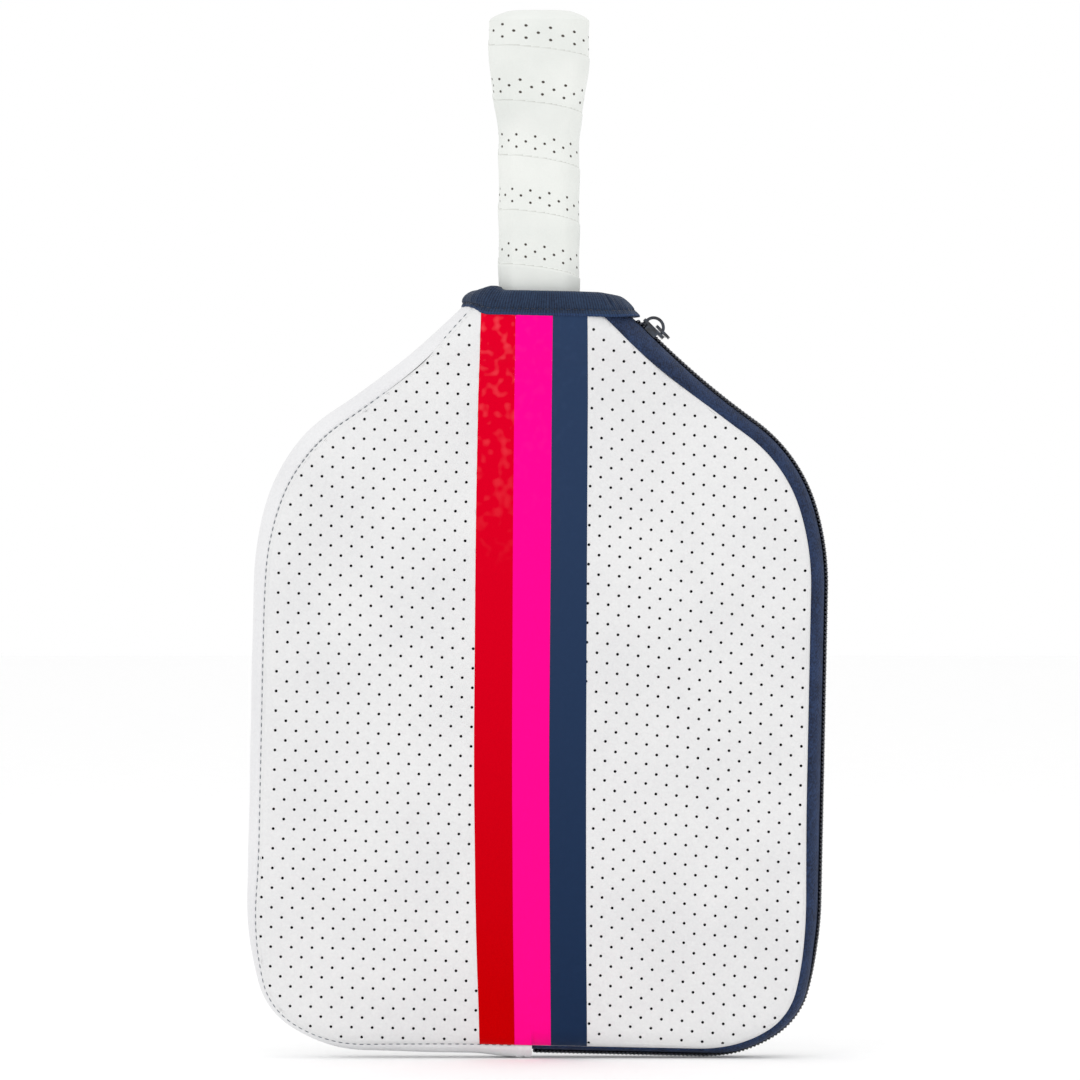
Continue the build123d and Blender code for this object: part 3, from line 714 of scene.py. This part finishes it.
def zipTapeStrip(name, front):
    s = np.r_[np.linspace(0.05, 380, 400), np.linspace(380.8, underCollar, 80)]
    last = zipper["edge"] + 0.55 * spreadAt(s)[:, None]
    insetOuter, depthOuter, p = wallPath(1, s, 0.0, last, 16)
    insetInner, depthInner, _ = wallPath(1, s, 0.0, last, 16, zipper["tape"])
    if not front:
        depthOuter, depthInner = -depthOuter, -depthInner
    return closedStrip(name, 1, s, insetOuter, depthOuter, insetInner, depthInner, p, [zipTape], front)


frontTape = zipTapeStrip("frontZipTape", True)
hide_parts("zip_tape_front", "zip_tape_front_fixed")
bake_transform(frontTape)
backTape = zipTapeStrip("backZipTape", False)
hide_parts("zip_tape_back")
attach(backTape, "case")


def zipCoil(name, front):
    # flattened helix along the zip's middle line: the turns of the two halves lie between each
    # other, and above the slider each half leaves the middle and climbs its own tape
    perTurn, round5 = 14, 6
    turns = int((edgeLength - 0.8) / zipper["pitch"])
    theta = np.linspace(0, 2 * math.pi * turns, turns * perTurn + 1)
    phase = 0.0 if front else math.pi
    s = 0.8 + zipper["pitch"] * theta / (2 * math.pi)
    hidden = turnedIn(s)
    high = seams["tapeInset"] / 2 - zipper["wire"]
    # towards the collar the two halves part, clear of the slider's bridge in its travel
    parted = smooth(edgeLength - zipper["partFrom"], edgeLength - zipper["partBy"], s)
    swing = (zipper["swing"] - zipper["partLess"] * parted) * np.cos(theta + phase)
    y = -zipper["middle"] - zipper["partShift"] * parted - swing
    y = y - spreadAt(s) if front else -(y - spreadAt(s))
    y = y + 2.6 * hidden
    body = bodyInset(1, s)
    w = edgeAt(s, 0.0)[1]
    half, radius = faceHalf(np.minimum(w, case["height"])), roundAt(w)
    past = np.clip(np.abs(y) - (half - radius), 0, radius * 0.95)
    lean = radius - np.sqrt(radius**2 - past**2)
    inset = body - seams["tapeInset"] / 2 + zipper["sunk"]
    inset = inset + high * np.sin(theta + phase) + lean + 0.55 * hidden
    u, w = edgeAt(s, inset)
    centre = place(u, w, y)
    along = unit(np.gradient(centre, axis=0))
    out = squareTo(centre - place(*edgeAt(s, inset + 1.0), y), along)
    other = np.cross(along, out)
    phi = np.linspace(0, 2 * math.pi, round5, endpoint=False)
    wire = zipper["wire"] * mm
    points = (centre[:, None, :] + wire * np.cos(phi)[None, :, None] * out[:, None, :]
              + wire * np.sin(phi)[None, :, None] * other[:, None, :])
    quads, _ = gridFaces(len(theta), round5, closeCols=True, flip=True)
    caps = np.stack([np.arange(round5)[::-1], (len(theta) - 1) * round5 + np.arange(round5)])
    return makePiece(name, points, [quads, caps], [nylonCoil])


frontCoil = zipCoil("frontZipCoil", True)
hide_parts("zip_coil_front", "zip_coil_front_fixed")
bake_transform(frontCoil)
backCoil = zipCoil("backZipCoil", False)
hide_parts("zip_coil_back")
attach(backCoil, "case")
print("zip made")


# ---- stitches
stitch = {"pitch": 2.9, "long": 1.7, "thread": 0.24, "sunk": 0.55, "collarLong": 1.9, "collarThread": 0.26}


def stitchRow(name, centre, along, out, length, radius, material, body):
    # each stitch is a short thread that sinks at both ends: six sides, five rings, closed tips
    t = np.linspace(-1, 1, 5)
    fat = np.sqrt(1 - (t * 0.97) ** 2)
    phi = np.linspace(0, 2 * math.pi, 6, endpoint=False)
    other = np.cross(along, out)
    sink = -0.35 * radius * t**2
    spine = (centre[:, None, :] + along[:, None, :] * (t * length / 2)[None, :, None]
             + out[:, None, :] * sink[None, :, None])
    ring = (np.cos(phi)[None, None, :, None] * out[:, None, None, :]
            + np.sin(phi)[None, None, :, None] * other[:, None, None, :])
    points = spine[:, :, None, :] + radius * fat[None, :, None, None] * ring
    quads, _ = gridFaces(5, 6, closeCols=True, flip=True)
    caps = np.stack([np.arange(6)[::-1], 24 + np.arange(6)])
    shift = (np.arange(len(centre)) * 30)[:, None, None]
    faces = [(quads[None] + shift).reshape(-1, 4), (caps[None] + shift).reshape(-1, 6)]
    return makePiece(name, points, faces, [material], body)


def seamStitches(name, front):
    s = np.arange(9.0, edgeLength + 5, stitch["pitch"])
    u, w = edgeAt(s, seamInset(-1, s) + 0.1)
    ahead = edgeAt(s + 0.5, seamInset(-1, s + 0.5) + 0.1)
    y = faceY(-u, w, stitch["sunk"])
    sign = -1 if front else 1
    here = place(-u, w, sign * y)
    there = place(-ahead[0], ahead[1], sign * faceY(-ahead[0], ahead[1], stitch["sunk"]))
    along = unit(there - here)
    out = squareTo(np.broadcast_to(np.array([0.0, float(sign), 0.0]), along.shape), along)
    piece = stitchRow(name, here, along, out, stitch["long"] * mm, stitch["thread"] * mm,
                      greyThread, "case")


seamStitches("frontSeamStitches", True)
seamStitches("backSeamStitches", False)
print("stitches made")

# ---- collar
collar = {"top": 9.2, "ribPitch": 0.9, "bulbHigh": 1.7, "bulbOut": 0.9, "lipUp": 3.0}


def bindingMaterial():
    # knitted elastic binding: fine upright ribs with painted shade in their grooves, a paler turned lip under
    # the dark seam line
    material, tree, shader, spots = newMaterial(
        "ribbedElasticBinding", Roughness=0.8, Sheen_Weight=0.1, Sheen_Roughness=0.4,
        Specular_IOR_Level=0.3, IOR=1.5)
    split = addNode(tree, "SeparateXYZ", {}, {0: spots["UV"]})
    rib = maths(tree, "SINE", maths(tree, "MULTIPLY", split.outputs[0], 2 * math.pi / collar["ribPitch"]))
    course = maths(tree, "SINE", maths(tree, "MULTIPLY", split.outputs[1], 2 * math.pi / 0.8))
    fuzz = addNode(tree, "TexNoise", {"Scale": 1200.0, "Detail": 2.0}, {"Vector": spots["Object"]})
    slow = addNode(tree, "TexNoise", {"Scale": 90.0, "Detail": 2.0}, {"Vector": spots["Object"]})
    mottle = maths(tree, "ADD", maths(tree, "MULTIPLY", fuzz.outputs[0], 0.6),
                   maths(tree, "MULTIPLY", slow.outputs[0], 0.4))
    # painted shade: the ribs' wave lightens the ridges and darkens the grooves, over the random mottle
    tone = maths(tree, "ADD", maths(tree, "MULTIPLY", rib, 0.16), mottle)
    band = mixOf(tree, ramp(tree, tone, 0.25, 0.8), "#111C32", "#2A3F5C")
    lip = mixOf(tree, ramp(tree, tone, 0.2, 0.8), "#16284A", "#28436A")
    edgeMask = maths(tree, "LESS_THAN", split.outputs[1], 2.3)
    mix = addNode(tree, "Mix", {"data_type": "RGBA"}, {0: edgeMask, 6: band, 7: lip})
    tree.links.new(mix.outputs[2], shader.inputs["Base Color"])
    weft = maths(tree, "ADD", maths(tree, "MULTIPLY", course, 0.35), fuzz.outputs[0])
    bumpInto(tree, shader, maths(tree, "ADD", rib, weft), 0.00009)
    return material


def neckLoop(q, level, grow):
    # level section of the neck: flat front and back, sides straight, corners a quarter circle that
    # the sloping edge stretches; q goes once round from the middle of the front, towards the zip
    wide = np.interp(level, neckTable["w"], neckTable["u"])
    deep, radius, stretch = case["neckDepth"] / 2, case["neckRound"], 1.35
    flatFront = wide - radius * stretch
    flatSide = deep - radius
    arc = radius * 1.2 * math.pi / 2
    lengths = np.stack([flatFront, np.full_like(flatFront, arc), np.full_like(flatFront, 2 * flatSide),
                        np.full_like(flatFront, arc), 2 * flatFront, np.full_like(flatFront, arc),
                        np.full_like(flatFront, 2 * flatSide), np.full_like(flatFront, arc), flatFront], 0)
    ends = np.concatenate([np.zeros((1,) + flatFront.shape), np.cumsum(lengths, 0)])
    p = (q % 1.0) * ends[-1]
    part = np.zeros(p.shape, int)
    for k in range(1, 9):
        part = np.where(p >= ends[k], k, part)
    local = (p - np.take_along_axis(ends, part[None], 0)[0]) / np.take_along_axis(lengths, part[None], 0)[0]
    angle = local * math.pi / 2
    bend = radius * stretch
    x = np.select([part == k for k in range(9)], [
        local * flatFront, flatFront + bend * np.sin(angle), wide + 0 * p, flatFront + bend * np.cos(angle),
        flatFront - 2 * flatFront * local, -flatFront - bend * np.sin(angle), -wide + 0 * p,
        -flatFront - bend * np.cos(angle), -flatFront + local * flatFront])
    y = np.select([part == k for k in range(9)], [
        -deep + 0 * p, -deep + radius * (1 - np.cos(angle)), -flatSide + 2 * flatSide * local,
        flatSide + radius * np.sin(angle), deep + 0 * p, deep - radius * (1 - np.cos(angle)),
        flatSide - 2 * flatSide * local, -flatSide - radius * np.sin(angle), -deep + 0 * p])
    normalX = np.select([part == k for k in range(9)], [
        0 * p, np.sin(angle), 1 + 0 * p, np.cos(angle), 0 * p, -np.sin(angle), -1 + 0 * p,
        -np.cos(angle), 0 * p])
    normalY = np.select([part == k for k in range(9)], [
        -1 + 0 * p, -np.cos(angle), 0 * p, np.sin(angle), 1 + 0 * p, np.cos(angle), 0 * p,
        -np.sin(angle), -1 + 0 * p])
    return x + grow * normalX, y + grow * normalY


neckS = np.linspace(edgeLength - 30, underCollar, 60)
neckU, neckW = edgeAt(neckS, 0.0)
neckTable = {"w": neckW, "u": neckU}


def collarAt(q, grow, up):
    # a point of the collar: lifted lip and bulge at the left, a tack and a drawn-in top at the
    # right, puckers all round
    x0, y0 = neckLoop(q + 0 * up, case["height"] + up, 0 * up)
    x0, y0 = x0[:, :1], y0[:, :1]
    left, right = smooth(-22, -33, x0), smooth(24, 36, x0)
    bulb = np.exp(-((x0 + 27.5) / 3.6) ** 2)
    skin = smooth(-2.5, 0.0, grow)
    tack = np.exp(-(((x0 - 26.3) / 0.8) ** 2)) * (y0 < 0)
    up = up + (collar["lipUp"] * left + 0.9 * right) * np.clip(1 - up / 7, 0, 1) \
        + collar["bulbHigh"] * bulb * smooth(4, 9, up)
    grow = grow + skin * (collar["bulbOut"] * bulb * smooth(2, 5, up)
                          + left * (2.2 * smooth(3, 8, up) - 1.2 * (1 - smooth(1, 5, up))))
    pucker = (0.16 * np.sin(q * 2 * math.pi * 23 + 1.0) * smooth(1.4, 2.6, up)
              + 0.10 * np.sin(q * 2 * math.pi * 57))
    grow = grow + skin * (pucker - 0.9 * tack * smooth(3.0, 4.5, up) * (1 - smooth(7.5, 9, up)))
    up = up - 0.8 * right * smooth(4, 9, up)
    x, y = neckLoop(q + 0 * up, case["height"] + up, grow)
    return x, up, y


def makeCollar():
    # profile (growth from the neck, height over the collar's lower edge, cloth length) carried
    # round the neck: lip, sewn groove, full band, rolled top, and down the inside
    profile = np.array([
        (-4.2, 1.2), (-0.6, -0.1), (0.35, -0.35), (0.75, -0.1), (0.95, 0.5), (0.98, 1.2), (0.9, 1.8),
        (0.6, 2.15), (0.5, 2.35), (0.75, 2.6), (1.15, 3.1), (1.4, 3.9), (1.5, 5.0), (1.5, 6.2), (1.35, 7.4),
        (1.0, 8.4), (0.35, 9.1), (-0.6, 9.45), (-1.7, 9.5), (-2.8, 9.2), (-3.6, 8.5), (-4.1, 7.5),
        (-4.3, 6.0), (-4.35, 4.0), (-4.3, 2.2)])
    cloth = np.concatenate([[0], np.cumsum(np.hypot(*np.diff(profile, axis=0).T))]) - 3.8
    count = 520
    q = np.arange(count)[:, None] / count
    x, up, y = collarAt(q, profile[None, :, 0] + 0 * q, profile[None, :, 1] + 0 * q)
    points = place(x, case["height"] + up, y)
    quads, corners = gridFaces(count, len(profile), closeRows=True, closeCols=True)
    uv = np.stack([corners[..., 0] / count * 165.0, cloth[corners[..., 1] % len(profile)]], -1)
    piece = makePiece("collarBinding", points, [quads], [bindingMaterial()], cornerUv=uv.reshape(-1, 2))
    stitchQ = np.arange(66)[:, None] / 66
    level = np.full((66, 1), 2.25)

    def stitchAt(q, grow):
        x, up, y = collarAt(q, np.full((66, 1), grow), level)
        return place(x, case["height"] + up, y)[:, 0]

    here = stitchAt(stitchQ, 0.62)
    along = unit(stitchAt(stitchQ + 0.002, 0.62) - here)
    out = squareTo(stitchAt(stitchQ, 1.62) - here, along)
    thread = stitchRow("collarStitches", here, along, out, stitch["collarLong"] * mm,
                       stitch["collarThread"] * mm, navyThread, "case")
    return piece


collarBinding = makeCollar()
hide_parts("collar_binding")
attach(collarBinding, "case")
print("collar made")

# ---- grip
grip = {
    "width": 31.5, "depth": 26.0, "cut": 5.6, "flare": 3.8, "buttTop": 411.8, "buttLength": 20.0,
    "flareLength": 30.0, "chamfer": 4.3, "bevel": 7.0, "foot": 284.8, "pitch": 21.4, "step": 0.38,
    "holePitch": 7.1, "rowPitch": 2.4, "rowMiddle": 15.9, "holeRadius": 0.44,
    "leadAt": (0, 0.1, 0.2, 0.34, 1.0), "lead": (0, 0.02, 0.08, 0.22, 1.0),
}


def overgripMaterial():
    # perforated polyurethane tape: soft white skin, faint pebble, small punched holes painted dark as shade,
    # in three staggered rows down the middle of each wrap, and a line of painted shade where one wrap laps
    # the last
    material, tree, shader, spots = newMaterial(
        "perforatedPolyurethaneTape", Roughness=0.62, IOR=1.48, Sheen_Weight=0.08)
    split = addNode(tree, "SeparateXYZ", {}, {0: spots["UV"]})
    along, across = split.outputs[0], split.outputs[1]
    row = maths(tree, "DIVIDE", maths(tree, "SUBTRACT", across, grip["rowMiddle"]), grip["rowPitch"])
    rowNumber = maths(tree, "ROUND", row)
    rowOff = maths(tree, "MULTIPLY", maths(tree, "SUBTRACT", row, rowNumber), grip["rowPitch"])
    inRows = maths(tree, "LESS_THAN", maths(tree, "ABSOLUTE", rowNumber), 1.2)
    slid = maths(tree, "ADD", along, maths(tree, "MULTIPLY", rowNumber, grip["holePitch"] / 2))
    place1 = maths(tree, "DIVIDE", slid, grip["holePitch"])
    alongOff = maths(tree, "SUBTRACT", place1, maths(tree, "ROUND", place1))
    alongOff = maths(tree, "MULTIPLY", alongOff, grip["holePitch"])
    squares = [maths(tree, "MULTIPLY", off, off) for off in (rowOff, alongOff)]
    distance = maths(tree, "SQRT", maths(tree, "ADD", *squares))
    inHole = ramp(tree, distance, grip["holeRadius"] + 0.12, grip["holeRadius"] - 0.10)
    hole = maths(tree, "MULTIPLY", inHole, inRows)
    # painted shade: the start of each wrap darkened where the last one laps over it
    lap = ramp(tree, across, 0.55, 0.0)
    pebble = addNode(tree, "TexVoronoi", {"Scale": 1500.0}, {"Vector": spots["Object"]})
    cloud = addNode(tree, "TexNoise", {"Scale": 45.0, "Detail": 3.0}, {"Vector": spots["Object"]})
    skin = mixOf(tree, ramp(tree, cloud.outputs[0], 0.3, 0.7), "#D9DCD8", "#E4E6E2")
    shade = maths(tree, "MULTIPLY", lap, 0.75)
    shaded = addNode(tree, "Mix", {"data_type": "RGBA", 7: linear("#B9BAB4")}, {0: shade, 6: skin})
    # painted shade: each punched hole is painted dark brown
    withHoleShade = addNode(tree, "Mix", {"data_type": "RGBA", 7: linear("#3B3027")},
                     {0: hole, 6: shaded.outputs[2]})
    tree.links.new(withHoleShade.outputs[2], shader.inputs["Base Color"])
    height = maths(tree, "SUBTRACT", maths(tree, "MULTIPLY", pebble.outputs["Distance"], 0.12),
                   maths(tree, "MULTIPLY", hole, 2.0))
    bumpInto(tree, shader, height, 0.0002)
    return material


def octagon(q, halfX, halfY, cut):
    # rounded octagon: q goes once round from the left edge across the front; eight sides by length
    cx, cy = halfX - cut, halfY - cut
    corner = np.stack([np.stack([-halfX, -cy], -1), np.stack([-cx, -halfY], -1), np.stack([cx, -halfY], -1),
                       np.stack([halfX, -cy], -1), np.stack([halfX, cy], -1), np.stack([cx, halfY], -1),
                       np.stack([-cx, halfY], -1), np.stack([-halfX, cy], -1)], 0)
    size = np.linalg.norm(np.roll(corner, -1, 0) - corner, axis=-1)
    ends = np.concatenate([np.zeros((1,) + size.shape[1:]), np.cumsum(size, 0)])
    total = np.zeros(q.shape + (2,))
    for shift in np.linspace(-0.022, 0.022, 7):  # averaging along the path rounds the corners
        p = ((q + shift) % 1.0) * ends[-1]
        part = np.clip(sum((p >= ends[k]).astype(int) for k in range(1, 8)), 0, 7)
        t = (p - np.take_along_axis(ends, part[None], 0)[0]) / np.take_along_axis(size, part[None], 0)[0]
        a = np.take_along_axis(corner, part[None, ..., None], 0)[0]
        b = np.take_along_axis(np.roll(corner, -1, 0), part[None, ..., None], 0)[0]
        total += a + (b - a) * t[..., None]
    return total / 7


def makeOvergrip():
    # octagonal sleeve that flares to the butt and folds in over its end; its thickness steps up
    # under each lap of the spiral, whose lead is gentler over the front than behind
    g = grip
    top = g["buttTop"]
    z = np.r_[np.linspace(g["foot"] + 0.5, top - g["chamfer"], 300),
              top - g["chamfer"] + np.linspace(0.12, 1, 14) * g["chamfer"]]
    low = top - g["buttLength"] - g["flareLength"]
    flare = g["flare"] * (0.35 * smooth(low, low + 30, z) + 0.65 * np.clip((z - low) / 30, 0, 1))
    over = np.clip((z - (top - g["chamfer"])) / g["chamfer"], 0, 1)
    flare = flare - g["bevel"] * over**1.6
    cols = 120
    q = (np.arange(cols) / cols)[None, :]
    flare, zz, over = flare[:, None] + 0 * q, z[:, None] + 0 * q, over[:, None] + 0 * q
    q = q + 0 * flare
    lead = np.interp(q[0], g["leadAt"], g["lead"])[None, :]
    turn = (top - 13.8 - zz) / g["pitch"] - lead
    part = turn - np.floor(turn)
    across = (1 - part) * g["pitch"]
    lap = g["step"] * (smooth(0.0, 0.03, part) - smooth(0.05, 0.9, part)) * (1 - over)
    wave = 0.12 * np.sin(turn * 2 * math.pi * 1.0 + 2.0)
    grow = flare + lap + wave - 0.02
    path = octagon(q, g["width"] / 2 + grow, g["depth"] / 2 + grow, np.full_like(grow, g["cut"]))
    points = np.stack([path[..., 0] * mm, path[..., 1] * mm, np.minimum(zz, top) * mm], -1)
    rows = len(z)
    quads, corners = gridFaces(rows, cols, closeCols=True, flip=True)
    r, c = np.minimum(corners[..., 0], rows - 1), corners[..., 1]
    turnAt = (top - 13.8 - z[r]) / g["pitch"] - np.interp(c / cols, g["leadAt"], g["lead"])
    base = np.floor(turnAt.mean(1, keepdims=True))
    alongTape = c / cols * 98.0 + base * 37.3
    atEnd = z[r].min(1, keepdims=True) > top - 2.9
    uv = np.stack([alongTape, np.where(atEnd, 9.0, (turnAt - base) * g["pitch"])], -1)
    middle = np.array([0.0, 0.0, (top - 0.3) * mm])
    inner = middle + (points[-1] - middle) * 0.55
    inner[:, 2] = (top - 0.05) * mm
    n = rows * cols
    points = np.concatenate([points.reshape(-1, 3), inner, middle[None]])
    ringA = (rows - 1) * cols + np.arange(cols)
    ringB = n + np.arange(cols)
    endQuads = np.stack([ringA, np.roll(ringA, -1), np.roll(ringB, -1), ringB], -1)
    endTris = np.stack([ringB, np.roll(ringB, -1), np.full(cols, n + cols)], -1)
    endUv = np.full((endQuads.size + endTris.size, 2), 9.0)
    cornerUv = np.concatenate([uv.reshape(-1, 2), endUv])
    return makePiece("overgrip", points, [quads, endQuads, endTris], [overgripMaterial()], "case",
                     cornerUv=cornerUv)


overgrip = makeOvergrip()
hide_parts("paddle_overgrip")
print("overgrip made")


# ---- hard parts: the CAD nodes keep their shape and get their real finishes
def enamelMaterial():
    # lacquered zinc die casting: smooth slate-blue enamel with an orange-peel surface, rubbed
    # paler in small patches
    material, tree, shader, spots = newMaterial(
        "lacquer", Roughness=0.36, Metallic=0.25, Coat_Weight=0.5, Coat_Roughness=0.15, IOR=1.5)
    wear = addNode(tree, "TexNoise", {"Scale": 420.0, "Detail": 4.0}, {"Vector": spots["Object"]})
    rubbed = ramp(tree, wear.outputs[0], 0.42, 0.72)
    tree.links.new(mixOf(tree, rubbed, "#10151F", "#3A4556"), shader.inputs["Base Color"])
    peel = addNode(tree, "TexNoise", {"Scale": 1500.0}, {"Vector": spots["Object"]})
    bumpInto(tree, shader, peel.outputs[0], 0.00003)
    return material


def plainPlastic(name, light, dark, roughness, grain, depth, **more):
    # moulded part with a fine texture at grain mm
    material, tree, shader, spots = newMaterial(name, Roughness=roughness, **more)
    tooth = addNode(tree, "TexNoise", {"Scale": 1 / (grain * mm), "Detail": 3.0}, {"Vector": spots["Object"]})
    cloud = addNode(tree, "TexNoise", {"Scale": 30.0, "Detail": 2.0}, {"Vector": spots["Object"]})
    tree.links.new(mixOf(tree, cloud.outputs[0], dark, light), shader.inputs["Base Color"])
    bumpInto(tree, shader, tooth.outputs[0], depth)
    return material


def wovenSkin():
    # fibreglass face: plain weave at 1.6 mm under a gritty clear coat
    material, tree, shader, spots = newMaterial("fibreglassSkin", Roughness=0.5, IOR=1.5, Coat_Weight=0.15)
    split = addNode(tree, "SeparateXYZ", {}, {0: spots["Object"]})
    warp = maths(tree, "SINE", maths(tree, "MULTIPLY", split.outputs[0], 2 * math.pi / (1.6 * mm)))
    weft = maths(tree, "SINE", maths(tree, "MULTIPLY", split.outputs[2], 2 * math.pi / (1.6 * mm)))
    weave = maths(tree, "MULTIPLY", warp, weft)
    grit = addNode(tree, "TexNoise", {"Scale": 2500.0}, {"Vector": spots["Object"]})
    tree.links.new(mixOf(tree, ramp(tree, weave, -1, 1), "#1B1C1F", "#2B2D31"), shader.inputs["Base Color"])
    bumpInto(tree, shader, maths(tree, "ADD", maths(tree, "MULTIPLY", weave, 0.4), grit.outputs[0]), 0.00006)
    return material


def honeycomb():
    # polypropylene honeycomb: six-sided cells of 8 mm, pale and waxy, the middle of each cell darkened as
    # painted shade in its hollow
    material, tree, shader, spots = newMaterial("polypropyleneHoneycomb", Roughness=0.45, IOR=1.49)
    cell = addNode(tree, "TexVoronoi", {"Scale": 125.0, "Randomness": 0.1, "feature": "DISTANCE_TO_EDGE"},
                   {"Vector": spots["Object"]})
    cellShadeAndHollow = ramp(tree, cell.outputs["Distance"], 0.02, 0.10)
    # painted shade: grey in the middle of each cell, pale on its walls; the same mask sinks the middle in the
    # bump
    tree.links.new(mixOf(tree, cellShadeAndHollow, "#E4E3DC", "#8E8C84"), shader.inputs["Base Color"])
    bumpInto(tree, shader, cellShadeAndHollow, -0.0006)
    return material


enamel = enamelMaterial()
finishes = {
    "slider_body": enamel, "slider_crown": enamel, "pull_tab": enamel,
    "paddle_core": honeycomb(),
    "paddle_face_front": wovenSkin(),
    "paddle_edge_guard": plainPlastic(
        "edgeGuardPolyurethane", "#1A1A1C", "#101012", 0.5, 0.5, 0.00004, IOR=1.5),
    "paddle_handle_core": plainPlastic("polyurethaneFoam", "#B59F7E", "#9C8767", 0.9, 0.7, 0.0002),
    "paddle_butt_cap": plainPlastic("mouldedAbs", "#1D1D20", "#151517", 0.42, 0.4, 0.00003, IOR=1.53),
    "paddle_cushion_grip": plainPlastic("evaCushion", "#3A3A3C", "#2A2A2C", 0.85, 0.6, 0.00012),
    "paddle_grip_band": plainPlastic("siliconeBand", "#24252A", "#1A1B1F", 0.55, 0.8, 0.00004, IOR=1.41),
}
finishes["paddle_face_back"] = finishes["paddle_face_front"]
for node, material in finishes.items():
    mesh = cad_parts[node].data
    mesh.materials.clear()
    mesh.materials.append(material)
print("hard parts finished")
